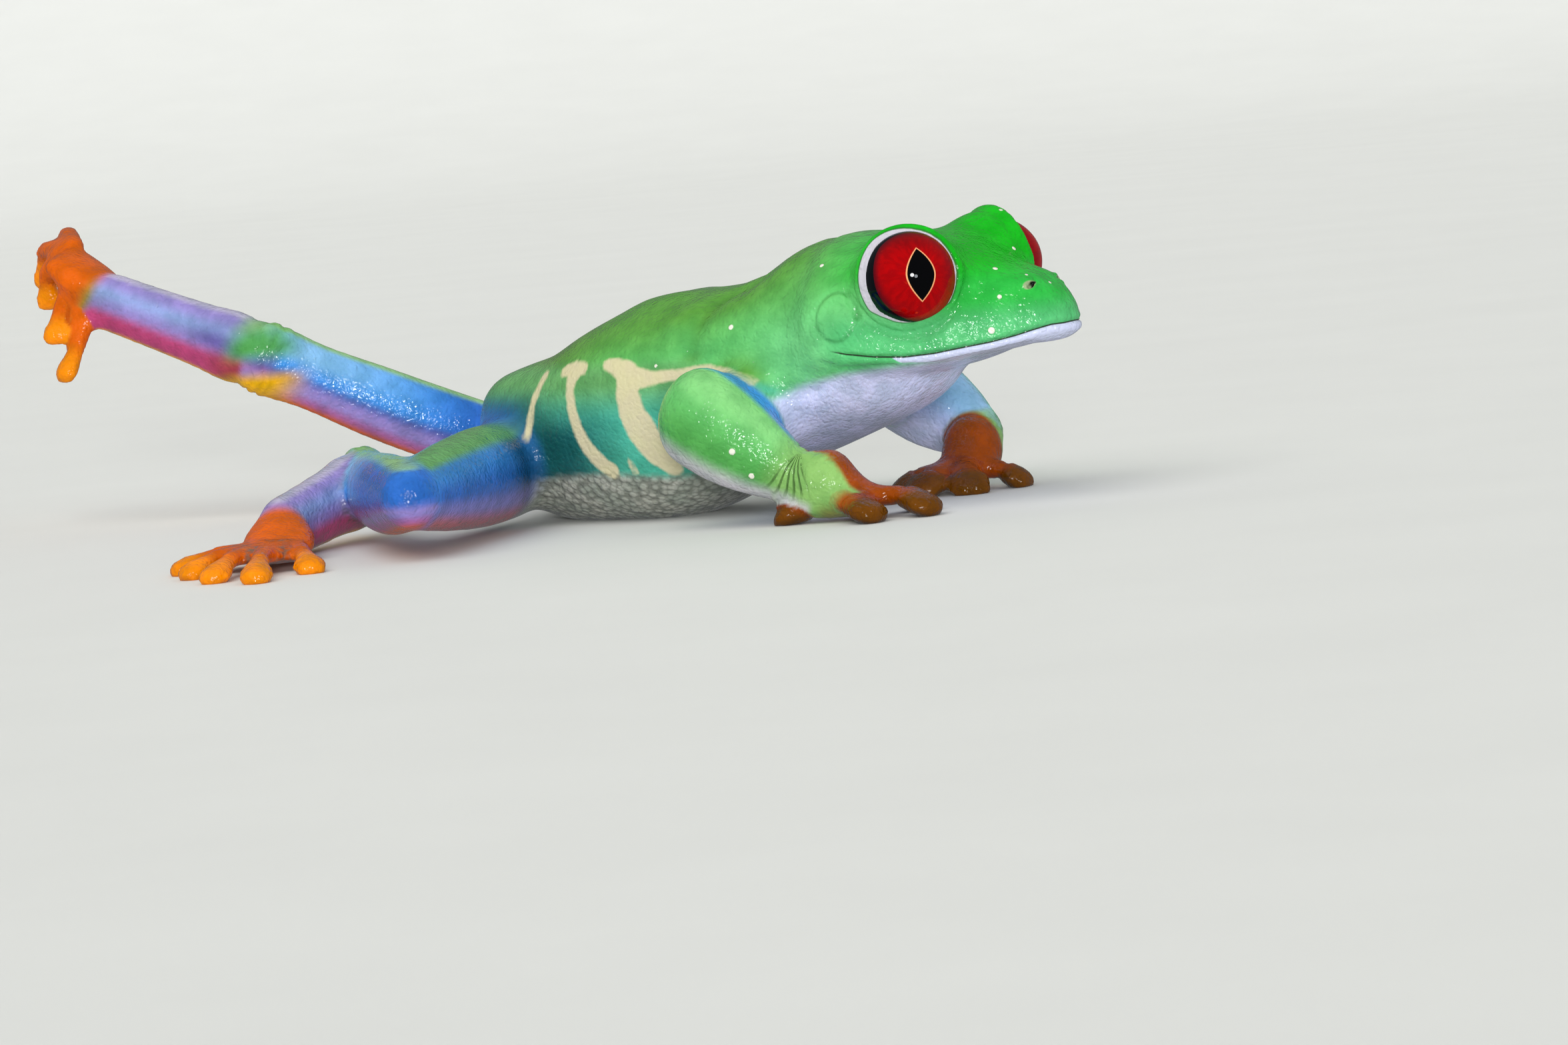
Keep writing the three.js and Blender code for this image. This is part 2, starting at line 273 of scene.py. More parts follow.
# %% [markdown]
# ## The body's masses
# A sculptor starts from simple masses: a skull, a trunk, and an oval length for each bone of a limb. Each
# mass here is a ball whose points are moved to new places, so its lattice stays even and closed. The head
# and trunk are rows of sections, and a limb is an oval swept along a smooth path through its joints.


# %% Rows of sections
def rows_at(rows, keys, column):
    """Values of a column at the keys, along a smooth curve through rows that are sorted by column 0."""
    rows = np.array(sorted(rows))
    x = rows[:, 0]
    y = rows[:, column]
    keys = np.clip(keys, x[0], x[-1])
    slopes = np.empty(len(x))
    slopes[1:-1] = (y[2:] - y[:-2]) / (x[2:] - x[:-2])
    slopes[0] = (y[1] - y[0]) / (x[1] - x[0])
    slopes[-1] = (y[-1] - y[-2]) / (x[-1] - x[-2])
    i = np.clip(np.searchsorted(x, keys, side="right") - 1, 0, len(x) - 2)
    span = x[i + 1] - x[i]
    t = (keys - x[i]) / span
    curve = (2 * t**3 - 3 * t**2 + 1) * y[i] + (3 * t**2 - 2 * t**3) * y[i + 1]
    return curve + span * ((t**3 - 2 * t**2 + t) * slopes[i] + (t**3 - t**2) * slopes[i + 1])


# Head and trunk rows: x, half-width, centre height, rise above it, depth below it.
HEAD_ROWS = [
    [33.8, 0.9, 12.6, 0.8, 0.6],
    [33.2, 2.0, 12.6, 1.7, 0.9],
    [32.6, 2.7, 12.5, 2.7, 1.05],
    [31.8, 3.4, 12.3, 3.7, 1.15],
    [30.9, 4.2, 12.1, 4.4, 1.2],
    [29.4, 5.3, 11.8, 5.3, 1.2],
    [27.9, 6.3, 11.6, 6.2, 1.25],
    [25.9, 7.4, 11.4, 7.5, 1.35],
    [23.9, 8.2, 11.3, 8.3, 1.5],
    [21.9, 8.8, 11.4, 8.4, 1.7],
    [19.9, 9.2, 11.6, 8.2, 2.0],
    [17.4, 9.3, 11.9, 7.8, 2.6],
    [14.9, 9.0, 12.0, 7.4, 3.2],
]
TRUNK_ROWS = [
    [-16.9, 2.0, 7.2, 2.4, 3.0],
    [-14.5, 4.4, 6.9, 4.0, 4.7],
    [-12.0, 5.6, 6.7, 5.0, 5.8],
    [-9.0, 6.8, 6.7, 5.8, 6.8],
    [-6.0, 7.8, 7.0, 7.0, 7.4],
    [-3.0, 8.5, 7.4, 7.8, 7.85],
    [0.0, 8.9, 7.9, 8.1, 8.35],
    [3.5, 9.0, 8.5, 8.1, 8.2],
    [7.0, 8.7, 9.2, 8.1, 7.4],
    [10.5, 8.4, 10.0, 8.4, 6.7],
    [14.0, 8.3, 10.6, 8.4, 6.1],
    [17.0, 8.0, 10.4, 7.0, 4.8],
    [20.0, 6.8, 10.0, 4.0, 3.2],
    [22.3, 4.6, 9.8, 2.0, 1.4],
    [23.4, 3.0, 9.8, 0.8, 0.5],
]
HEAD_SHAPE = {"cap": (0.7, 1.5), "squareness": 0.86}
TRUNK_SHAPE = {"cap": (2.0, 3.0), "squareness": 0.88}

# %% [markdown]
# The rows are the form itself. Each row of the head and trunk says how wide and how high a section is,
# and each row of a limb says how thick it is at a share of its length. The construction file has the same
# rows.

# %% Limb rows
# Share of the length, half-width, half-height.
ARM_ROWS = [[0, 2.6, 3.0], [0.5, 2.5, 2.8], [1, 2.7, 2.9]]
FOREARM_ROWS = [[0, 3.2, 3.5], [0.35, 3.0, 3.4], [0.75, 2.4, 2.7], [1, 1.7, 2.0]]
PALM_ROWS = [[0, 1.7, 1.9], [0.5, 2.2, 2.3], [0.8, 2.2, 2.1], [1, 2.1, 1.6]]
FINGER_ROWS = [[0, 1.0, 0.9], [0.35, 0.85, 0.75], [0.55, 1.15, 0.8], [0.75, 1.65, 0.9], [1, 1.6, 0.85]]
THIGH_ROWS = [[0, 3.2, 3.7], [0.3, 3.4, 3.7], [0.7, 2.8, 3.1], [1, 2.1, 2.3]]
SHANK_ROWS = [[0, 2.1, 2.2], [0.3, 2.6, 2.9], [0.6, 2.5, 2.95], [0.85, 1.9, 2.7], [1, 2.1, 3.0]]
TARSUS_ROWS = [[0, 1.9, 2.3], [0.2, 2.0, 2.9], [0.35, 1.9, 2.7], [0.7, 1.8, 2.5], [1, 1.8, 2.4]]
FOOT_ROWS = [[0, 1.8, 2.1], [0.5, 2.6, 1.6], [1, 2.8, 1.0]]
TOE_ROWS = [[0, 1.0, 0.85], [0.5, 0.8, 0.68], [0.75, 0.85, 0.65], [0.9, 1.3, 0.8], [1, 1.2, 0.75]]
print("rows of the head and trunk:", len(HEAD_ROWS) + len(TRUNK_ROWS))

# %% [markdown]
# The right limbs are drawn up under the body, the left arm is bent, and the left hind leg lies stretched
# out behind. Each limb is a chain of joints, from the trunk outwards. The eyes look forwards and
# sideways, and the lids around them open further to the side.

# %% Joints and eyes
ARMS = {
    "r": {
        "shoulder": (12.4, -6.6, 8.0),
        "elbow": (9.3, -12.0, 7.6),
        "wrist": (15.9, -11.3, 3.4),
        "palm": (19.6, -9.9, 1.7),
        "fingers": [
            [(20.4, -8.6, 1.5), (22.0, -6.6, 1.3), (23.2, -5.0, 0.4)],
            [(21.1, -9.5, 1.6), (23.2, -9.1, 1.5), (25.6, -9.0, 0.6)],
            [(19.7, -10.8, 1.6), (20.4, -12.0, 1.4), (22.9, -12.4, 0.6)],
            [(18.4, -10.6, 1.4), (16.9, -11.2, 1.1), (15.0, -11.2, 0.35)],
        ],
    },
    "l": {
        "shoulder": (12.4, 6.6, 8.0),
        "elbow": (12.4, 13.4, 7.3),
        "wrist": (18.7, 12.5, 3.7),
        "palm": (19.2, 9.0, 1.8),
        "fingers": [
            [(18.2, 7.8, 1.5), (16.6, 6.5, 1.3), (15.2, 5.7, 0.35)],
            [(18.9, 7.6, 1.5), (18.3, 5.6, 1.4), (17.9, 3.7, 0.35)],
            [(19.8, 7.8, 1.5), (20.7, 6.2, 1.4), (21.6, 4.7, 0.35)],
            [(20.6, 8.8, 1.5), (22.1, 8.9, 1.3), (23.6, 9.2, 0.35)],
        ],
    },
}
HIND_LEGS = {
    "r": {
        "hip": (-12.4, -5.0, 4.2),
        "knee": (-6.5, -27.0, 4.6),
        "calf": (-14.2, -18.2, 4.1),
        "heel": (-22.6, -8.6, 3.9),
        "ankle": (-21.6, -21.2, 2.1),
        "foot": (-19.2, -25.6, 1.1),
        "toes": [
            [(-20.6, -26.0, 1.0), (-22.7, -28.6, 1.1), (-24.4, -30.6, 0.35)],
            [(-19.9, -26.9, 1.0), (-20.9, -30.6, 1.2), (-21.4, -33.6, 0.35)],
            [(-18.9, -27.3, 1.0), (-18.3, -32.2, 1.3), (-17.4, -36.4, 0.35)],
            [(-18.0, -27.0, 1.0), (-15.6, -32.6, 1.4), (-13.0, -37.4, 0.35)],
            [(-17.2, -26.2, 1.0), (-14.4, -29.4, 1.2), (-11.8, -32.2, 0.35)],
        ],
    },
    "l": {
        "hip": (-12.4, 5.0, 4.2),
        "knee": (-26.0, 25.2, 2.1),
        "calf": (-34.2, 18.8, 6.2),
        "heel": (-44.3, 11.0, 12.6),
        "ankle": (-58.0, 9.9, 17.9),
        "foot": (-62.3, 10.8, 21.1),
        "toes": [
            [(-60.2, 9.6, 18.3), (-59.9, 8.0, 15.2), (-60.5, 6.3, 12.4)],
            [(-61.3, 9.9, 19.6), (-62.1, 8.7, 17.6), (-62.0, 7.5, 15.4)],
            [(-62.9, 11.0, 20.9), (-65.0, 11.3, 20.6), (-65.3, 11.6, 18.0)],
            [(-63.6, 11.7, 21.9), (-67.0, 14.0, 22.2), (-68.6, 16.0, 19.4)],
            [(-63.0, 12.4, 22.4), (-65.9, 15.8, 23.4), (-68.4, 18.4, 22.0)],
        ],
    },
}
EYE_CENTRE = (24.1, 6.4, 16.7)  # of the left eye; the right one mirrors it
EYE_RADIUS = 3.45
EYE_TURN = math.radians(48)
EYE_LIFT = math.radians(7)
CORNEA_BULGE = 0.25
CORNEA_SPREAD = 0.75
LID_TURN = math.radians(68)
LID_RADII = (4.1, 3.95, 3.75)
LID_SETBACK = 1.15
print("joints of a hand:", len(ARMS["r"]["fingers"]) * 3, "and of a foot:", len(HIND_LEGS["r"]["toes"]) * 3)


# %% [markdown]
# A limb follows a smooth path through its joints, with a side and a top at every place. The lattice of a
# ball is then stretched along that path, or from the front to the rear of the trunk.


# %% Paths and balls
def smooth_path(joints, steps=32):
    """Evenly spaced points on a smooth curve through the joints, and the curve's direction at each."""
    joints = np.array(joints, float)
    ends = [2 * joints[0] - joints[1], 2 * joints[-1] - joints[-2]]
    knots = np.vstack([ends[0], joints, ends[1]])
    fine = []
    for a, b, c, d in zip(knots, knots[1:], knots[2:], knots[3:]):
        t = np.linspace(0, 1, steps, endpoint=False)[:, None]
        square = (2 * a - 5 * b + 4 * c - d) * t**2
        cube = (3 * b - a - 3 * c + d) * t**3
        fine.append(0.5 * (2 * b + (c - a) * t + square + cube))
    fine = np.vstack(fine + [joints[-1:]])
    run = np.concatenate([[0], np.cumsum(np.linalg.norm(np.diff(fine, axis=0), axis=1))])
    even = np.linspace(0, run[-1], steps)
    points = np.stack([np.interp(even, run, fine[:, k]) for k in range(3)], axis=1)
    tangents = np.gradient(points, axis=0)
    return points, tangents / np.linalg.norm(tangents, axis=1, keepdims=True), run[-1]


def rounded_end(inside, length):
    """The share of the full section that a round end leaves at a distance inside it."""
    out = np.clip(1 - inside / length, 0, 1)
    return np.sqrt(1 - out * out)


def remapped_ball(around, along, place):
    """A closed mass: a ball whose points are moved by place(shares, cosines, sines), pole to pole."""
    work = bmesh.new()
    verts = bmesh.ops.create_uvsphere(work, u_segments=around, v_segments=along, radius=1)["verts"]
    ball = np.array([vert.co for vert in verts])
    ring = np.hypot(ball[:, 0], ball[:, 1])
    safe = np.where(ring > 1e-6, ring, 1)
    cosines = np.where(ring > 1e-6, ball[:, 0] / safe, 0)
    sines = np.where(ring > 1e-6, ball[:, 1] / safe, 0)
    for vert, spot in zip(verts, place((1 - ball[:, 2]) / 2, cosines, sines)):
        vert.co = spot
    return work


def frames_along(path, inside):
    """Centre, direction, side and top of the path at each share of its length."""
    shares = np.linspace(0, 1, len(path[0]))
    centre, ahead = (
        np.stack([np.interp(inside, shares, values[:, k]) for k in range(3)], axis=1) for values in path[:2]
    )
    ahead /= np.linalg.norm(ahead, axis=1, keepdims=True)
    side = np.cross((0, 0, 1), ahead)
    side /= np.linalg.norm(side, axis=1, keepdims=True)
    return centre, ahead, side, np.cross(ahead, side)


hand_path = smooth_path(ARMS["r"]["fingers"][0])
print("the first finger's path is", round(float(hand_path[2]), 1), "mm long")


# %% Mass makers
def limb_mass(joints, rows, around=28, along=26):
    """A limb, palm or digit: an oval section swept along its path, with round ends."""
    path = smooth_path(joints)
    length = path[2]
    caps = [min(rows[0][1:]), min(rows[-1][1:])]

    def place(shares, cosines, sines):
        spot = shares * (length + caps[0] + caps[1]) - caps[0]
        inside = np.clip(spot / length, 0, 1)
        centre, ahead, side, top = frames_along(path, inside)
        centre = centre + ahead * (spot - inside * length)[:, None]
        cap = rounded_end(spot + caps[0], caps[0]) * rounded_end(length + caps[1] - spot, caps[1])
        centre += side * (cosines * cap * rows_at(rows, inside, 1))[:, None]
        return centre + top * (sines * cap * rows_at(rows, inside, 2))[:, None]

    return remapped_ball(around, along, place)


def torso_mass(rows, cap, squareness, around=72, along=80):
    """The head or the trunk: sections square to X, each with its own height above and below its centre."""
    front = max(row[0] for row in rows)
    rear = min(row[0] for row in rows)

    def place(shares, cosines, sines):
        x = front - shares * (front - rear)
        ends = rounded_end(front - x, cap[0]) * rounded_end(x - rear, cap[1])
        wide = np.sign(cosines) * np.abs(cosines) ** squareness * ends * rows_at(rows, x, 1)
        height = np.where(sines > 0, rows_at(rows, x, 3), rows_at(rows, x, 4))
        tall = np.sign(sines) * np.abs(sines) ** squareness * ends * height
        return np.stack([x, wide, rows_at(rows, x, 2) + tall], axis=1)

    return remapped_ball(around, along, place)


# %% Places of the eyes
def ball_mass(centre, radii):
    """A ball or egg at a centre."""
    work = bmesh.new()
    placed = Matrix.Translation(centre) @ Matrix.Diagonal((*radii, 1))
    bmesh.ops.create_icosphere(work, subdivisions=4, radius=1, matrix=placed)
    return work


def on_side(spot, side):
    """A place on the left for side +1, and its mirror image on the right for side -1."""
    return Vector((spot[0], side * spot[1], spot[2]))


def eye_axis(side, turn=EYE_TURN):
    """The way that one eye looks, or its lids open."""
    flat = math.cos(EYE_LIFT)
    return Vector((math.cos(turn) * flat, side * math.sin(turn) * flat, math.sin(EYE_LIFT)))


print("the left eye looks along", [round(value, 2) for value in eye_axis(1)])


# %% [markdown]
# ## From masses to one skin
# The masses overlap at every joint. A voxel remesh turns them into a single closed surface of even
# squares, as if they were dipped in wax. The alternative, joining the limbs by booleans, would leave a
# hard crease and uneven faces at every joint.

# %% Gather the masses
masses = [torso_mass(HEAD_ROWS, **HEAD_SHAPE), torso_mass(TRUNK_ROWS, **TRUNK_SHAPE)]
for side in SIDES.values():
    masses.append(ball_mass(on_side(EYE_CENTRE, side) - eye_axis(side, LID_TURN) * LID_SETBACK, LID_RADII))

limbs = {}
for letter in SIDES:
    arm = ARMS[letter]
    limbs[f"upper_arm_{letter}"] = ([arm["shoulder"], arm["elbow"]], ARM_ROWS)
    limbs[f"forearm_{letter}"] = ([arm["elbow"], arm["wrist"]], FOREARM_ROWS)
    limbs[f"hand_{letter}"] = ([arm["wrist"], arm["palm"]], PALM_ROWS)
    for i, joints in enumerate(arm["fingers"], start=1):
        limbs[f"finger_{letter}_{i}"] = (joints, FINGER_ROWS)
    leg = HIND_LEGS[letter]
    limbs[f"thigh_{letter}"] = ([leg["hip"], leg["knee"]], THIGH_ROWS)
    limbs[f"shank_{letter}"] = ([leg["knee"], leg["calf"], leg["heel"]], SHANK_ROWS)
    limbs[f"tarsus_{letter}"] = ([leg["heel"], leg["ankle"]], TARSUS_ROWS)
    limbs[f"foot_{letter}"] = ([leg["ankle"], leg["foot"]], FOOT_ROWS)
    for i, joints in enumerate(leg["toes"], start=1):
        limbs[f"toe_{letter}_{i}"] = (joints, TOE_ROWS)
masses += [limb_mass(joints, rows) for joints, rows in limbs.values()]
print("masses:", len(masses))


# %% [markdown]
# Between the toes a tree frog has webs, which it spreads as brakes when it jumps. Each is a thin curtain
# that hangs between two toes, with its free edge drawn in.

# %% Webs between the toes
WEB_REACH = 0.72  # share of the toes' length that the web joins
WEB_HALF_THICK = 0.45
WEB_HOLLOW = 0.35  # how far the free edge is drawn in between the toes


def web_mass(first, second, reach):
    """A thin curtain between two toes, from their roots to a share of their length."""
    paths = [smooth_path(first), smooth_path(second)]

    def place(shares, cosines, sines):
        base = sum(frames_along(path, shares * 0)[0] * 0.5 for path in paths)
        ends = [frames_along(path, shares * reach)[0] for path in paths]
        across = 0.5 + 0.5 * cosines * np.sqrt(np.clip(1 - (2 * shares - 1) ** 8, 0, 1))
        hollow = 1 - WEB_HOLLOW * shares * (1 - (2 * across - 1) ** 2)
        curtain = ends[0] * (1 - across[:, None]) + ends[1] * across[:, None]
        spot = base + (curtain - base) * hollow[:, None]
        return spot + np.array([0, 0, 1.0]) * (sines * WEB_HALF_THICK * rounded_end(shares, 0.12))[:, None]

    return remapped_ball(24, 20, place)


for letter in SIDES:
    toes = HIND_LEGS[letter]["toes"]
    masses += [web_mass(first, second, WEB_REACH) for first, second in zip(toes, toes[1:])]
print("masses with webs:", len(masses))

# %% Remesh
VOXEL = 0.44

joined = bmesh.new()
for mass in masses:
    bmesh.ops.recalc_face_normals(mass, faces=mass.faces)
    part = bpy.data.meshes.new("mass")
    mass.to_mesh(part)
    joined.from_mesh(part)
    mass.free()
    bpy.data.meshes.remove(part)
rough = bpy.data.meshes.new("rough")
joined.to_mesh(rough)
joined.free()
holder = bpy.data.objects.new("rough", rough)
bpy.context.collection.objects.link(holder)
wax = holder.modifiers.new("wax", "REMESH")
wax.mode = "VOXEL"
wax.voxel_size = VOXEL
graph = bpy.context.evaluated_depsgraph_get()
skin_mesh = bpy.data.meshes.new_from_object(holder.evaluated_get(graph))
skin_mesh.name = "skin"
bpy.data.objects.remove(holder)
bpy.data.meshes.remove(rough)
print("skin faces after the remesh:", len(skin_mesh.polygons))

# %% [markdown]
# ## Brushes
# Sculpting by hand can't be repeated, so each stroke is written down: where it is, how wide and how deep.
# A brush works on all points at once. Relaxing draws each point towards the middle of its neighbours, and
# filling does so only outwards, which rounds a crease like a web of skin and leaves the rest alone.


# %% Soft selections
def fade(value, low, high):
    """0 below low, 1 above high and a smooth step between them."""
    t = np.clip((value - low) / (high - low), 0, 1)
    return t * t * (3 - 2 * t)


def near(points, spot, radius):
    """1 at a spot and almost 0 from twice the radius on."""
    return np.exp(-(((points - np.array(spot)) ** 2).sum(axis=1)) / radius**2)


def from_line(points, line):
    """Distance from each point to a line through the given spots."""
    line = np.array(line, float)
    best = np.full(len(points), 1e9)
    for a, b in zip(line, line[1:]):
        t = np.clip(((points - a) @ (b - a)) / ((b - a) @ (b - a)), 0, 1)
        best = np.minimum(best, np.linalg.norm(points - a - t[:, None] * (b - a), axis=1))
    return best


print("halfway through a fade:", float(fade(0.5, 0, 1)))


# %% Clay and its brushes
class Clay:
    """A mesh in millimetres that brushes shape, many points at once."""

    def __init__(self, mesh):
        self.mesh = mesh
        self.read()

    def read(self):
        """Takes the points and edges from the mesh."""
        self.points = np.empty((len(self.mesh.vertices), 3), dtype=np.float32)
        self.mesh.vertices.foreach_get("co", self.points.ravel())
        self.points = self.points.astype(float)
        pairs = np.empty((len(self.mesh.edges), 2), dtype=np.int32)
        self.mesh.edges.foreach_get("vertices", pairs.ravel())
        self.edges = pairs
        self.degree = np.bincount(pairs.ravel(), minlength=len(self.points))

    def write(self):
        """Puts the points back in the mesh."""
        self.mesh.vertices.foreach_set("co", self.points.astype(np.float32).ravel())
        self.mesh.update()

    def normals(self):
        """The way that the skin faces at each point."""
        self.write()
        out = np.empty((len(self.points), 3), dtype=np.float32)
        self.mesh.vertices.foreach_get("normal", out.ravel())
        return out.astype(float)

    def mirrored(self):
        """The points with those on the right side folded over to the left."""
        return self.points * (1, 0, 1) + np.abs(self.points) * (0, 1, 0)

    def mean(self, values):
        """The mean of each point's neighbours."""
        a, b = self.edges.T
        total = np.zeros((len(self.points), values.shape[1]))
        for k in range(values.shape[1]):
            total[:, k] = np.bincount(a, values[b, k], len(self.points))
            total[:, k] += np.bincount(b, values[a, k], len(self.points))
        return total / self.degree[:, None]

    def relax(self, weight, passes):
        """Draws each point towards the middle of its neighbours."""
        for _ in range(passes):
            self.points += (self.mean(self.points) - self.points) * (0.5 * weight)[:, None]

    def fill(self, weight, passes):
        """Relaxes outwards only, so creases fill up and round forms keep their size."""
        for i in range(passes):
            if i % 8 == 0:
                facing = self.normals()
            pull = self.mean(self.points) - self.points
            out = np.clip((pull * facing).sum(axis=1), 0, None)
            slide = pull - facing * (pull * facing).sum(axis=1)[:, None]
            self.points += (facing * out[:, None] + slide * 0.5) * weight[:, None]

    def push(self, amount):
        """Moves each point along the way that it faces."""
        self.points += self.normals() * amount[:, None]

    def refine(self, wanted):
        """Divides once each face whose corners are wanted, so that finer strokes can follow."""
        self.write()
        work = bmesh.new()
        work.from_mesh(self.mesh)
        work.verts.ensure_lookup_table()
        inside = [face for face in work.faces if all(wanted[vert.index] for vert in face.verts)]
        chosen = {edge for face in inside for edge in face.edges}
        bmesh.ops.subdivide_edges(work, edges=list(chosen), cuts=1, use_grid_fill=True)
        bmesh.ops.triangulate(work, faces=[face for face in work.faces if len(face.verts) > 4])
        work.to_mesh(self.mesh)
        work.free()
        self.read()
        print("points after refining:", len(self.points))


clay = Clay(skin_mesh)
clay.relax(np.ones(len(clay.points)), 1)

# %% [markdown]
# ## Skin between the masses
# A frog's skin is a loose bag, so it spans the corners where limbs meet the body. Each joint gets the
# filling brush with its own radius and number of passes.

# %% Fill the joints
# Each fill: place on the left side or joint of a limb, radius, passes.
JOINT_FILLS = [
    ((12.4, 7.2, 8.6), 3.2, 40),
    ((11.0, 8.8, 9.4), 2.5, 30),
    ((-12.4, 5.6, 5.0), 4.5, 50),
    ((16.0, 6.0, 17.5), 3.5, 60),
    ((15.5, 9.0, 12.0), 3.0, 50),
    ((16.0, 0.0, 19.0), 4.0, 60),
    ((17.0, 6.0, 9.0), 4.0, 40),
    ((24.0, 3.0, 19.6), 2.2, 40),
    ((21.0, 6.5, 16.5), 2.4, 40),
    ((24.3, 7.0, 13.6), 2.4, 30),
    ((27.6, 5.2, 16.0), 2.0, 30),
]
LIMB_FILLS = [("elbow", 2.5, 20), ("wrist", 2.0, 20), ("palm", 2.2, 12)]
LIMB_FILLS += [("heel", 2.4, 12), ("ankle", 2.2, 20), ("foot", 2.5, 10)]
folded = clay.mirrored()
for spot, radius, passes in JOINT_FILLS:
    clay.fill(near(folded, spot, radius), passes)
for letter in SIDES:
    joints = ARMS[letter] | HIND_LEGS[letter]
    for name, radius, passes in LIMB_FILLS:
        clay.fill(near(clay.points, joints[name], radius), passes)
clay.relax(np.ones(len(clay.points)), 2)
clay.write()
print("filled joints:", len(JOINT_FILLS) + 2 * len(LIMB_FILLS))

# %% [markdown]
# The head, the digits, the heels and the wrists carry finer folds than the rest, so their faces are
# divided.

# %% Refine the head, hands and feet
DIGIT_REACH = 2.4
HEEL_REACH = 3.2
WRIST_REACH = 2.8

x, y, z = clay.mirrored().T
is_fine = (x > 17.0) & (z > 9.0)
for letter in SIDES:
    digits = ARMS[letter]["fingers"] + HIND_LEGS[letter]["toes"]
    spots = [(joints[k], DIGIT_REACH) for joints in digits for k in (1, 2)]
    spots += [(HIND_LEGS[letter]["heel"], HEEL_REACH), (ARMS[letter]["wrist"], WRIST_REACH)]
    for spot, reach in spots:
        is_fine |= np.linalg.norm(clay.points - spot, axis=1) < reach
clay.refine(is_fine)
x, y, z = clay.mirrored().T
clay.relax(fade(x, 16.0, 17.5) * fade(z, 7.5, 9.0), 3)

# %% [markdown]
# ## The head
# The lids open more sideways than the eye looks. Around each eye the skin is shaped in polar terms: how
# far a point is turned from the lids' axis decides how far it stands from the eye's centre. Inside the
# lids it dives under the eyeball, at the lids it rises to a rim that is highest behind the eye, and
# further out it runs into the cheek.

# %% Eye sockets
LID_OPENING = 75.0  # degrees from the lids' axis to where they touch the eyeball
REAR_COVER = 10.5  # degrees by which the rear lid reaches further over it
LOW_COVER = 7.0  # degrees more straight behind and straight below the eye
CREST_TURN = 80.5  # degrees from the lids' axis to the crest of their rim
LID_CREST = 3.88  # distance of the crest from the eye's centre
REAR_CREST = 0.1  # how much further out it stands behind the eye
LID_TOUCH = EYE_RADIUS + 0.02  # distance at which the lids leave the eyeball
UNDER_EYEBALL = 3.1  # distance from the eye's centre at which the hidden skin passes


def lid_polar(points, side):
    """Degrees from the lids' axis, distance from the eye's centre, and the shares towards back and top."""
    ahead = np.array(eye_axis(side, LID_TURN))
    offset = points - np.array(on_side(EYE_CENTRE, side))
    far = np.linalg.norm(offset, axis=1)
    turned = np.degrees(np.arccos(np.clip(offset @ ahead / far, -1, 1)))
    above = np.array([0, 0, 1]) - ahead * ahead[2]
    above /= np.linalg.norm(above)
    behind = np.cross(above, ahead) * side
    across = np.stack([offset @ behind, offset @ above])
    return turned, far, *(across / np.maximum(np.linalg.norm(across, axis=0), 1e-6))


for side in SIDES.values():
    turned, far, back_share, top_share = lid_polar(clay.points, side)
    rear = fade(back_share, -0.3, 0.9)
    low = fade(np.maximum(back_share, -top_share), 0.6, 1.0)
    opening = LID_OPENING - REAR_COVER * rear - LOW_COVER * low
    crest = LID_CREST + REAR_CREST * rear + 0.03 * top_share
    crest_turn = CREST_TURN - 6.0 * fade(back_share, 0.6, 1.0) - 3.0 * fade(-top_share, 0.6, 1.0)
    wanted = UNDER_EYEBALL + (LID_TOUCH - UNDER_EYEBALL) * fade(turned, opening - 9, opening)
    wanted += (crest - LID_TOUCH) * fade(turned, opening - 1, crest_turn)
    own = 1 - fade(turned, crest_turn + 4, crest_turn + 20)
    own *= np.where(turned < opening - 2, 1 - fade(far, 4.7, 5.3), 1 - fade(np.abs(far - wanted), 0.7, 1.5))
    offset = clay.points - np.array(on_side(EYE_CENTRE, side))
    clay.points += offset / far[:, None] * ((wanted - far) * own)[:, None]
print("lids stand", round(LID_CREST + REAR_CREST - EYE_RADIUS, 2), "mm proud behind the eye")

# %% [markdown]
# The mouth is one long line from the tip of the snout to behind the eye. It gets finer faces, then a
# narrow groove with a roll of lip on both sides. The nostrils, the lids and a few pale warts need finer
# faces too. The ear disc, the nostrils and the fold below the eye are strokes of the brush.

# %% Lines of the face
MOUTH_LINE = [
    (33.9, 0.0, 12.7),
    (33.4, 1.6, 12.6),
    (32.9, 2.4, 12.6),
    (31.9, 3.5, 12.36),
    (30.9, 4.3, 12.08),
    (29.4, 5.4, 11.78),
    (27.9, 6.3, 11.6),
    (25.9, 7.3, 11.34),
    (23.9, 8.1, 11.26),
    (21.9, 8.7, 11.42),
    (19.9, 9.1, 11.74),
    (18.9, 9.2, 12.0),
]
EAR_CENTRE = (19.2, 9.3, 14.45)
EAR_RADIUS = 1.3
NOSTRIL_CENTRE = (31.5, 2.35, 15.5)
# Small pale warts: place and radius.
WARTS = [
    (9.8, -7.6, 14.1, 0.2),
    (12.9, -14.4, 5.7, 0.24),
    (14.0, -13.8, 3.8, 0.22),
    (3.7, -8.5, 11.6, 0.14),
    (29.9, -4.0, 14.9, 0.16),
    (29.6, -5.1, 12.6, 0.24),
    (29.0, -2.6, 16.8, 0.18),
    (27.3, 3.8, 17.8, 0.16),
    (31.0, -1.7, 16.2, 0.12),
    (17.1, -6.5, 18.1, 0.16),
    (32.2, -0.5, 15.5, 0.12),
    (25.4, 5.8, 20.3, 0.14),
]


def mouth_height(points):
    """Millimetres above the mouth line, and 1 along the jaws and 0 behind them, where the line ends."""
    line = np.array(MOUTH_LINE)[::-1]
    return points[:, 2] - np.interp(points[:, 0], line[:, 0], line[:, 2]), fade(points[:, 0], 18.6, 20.6)


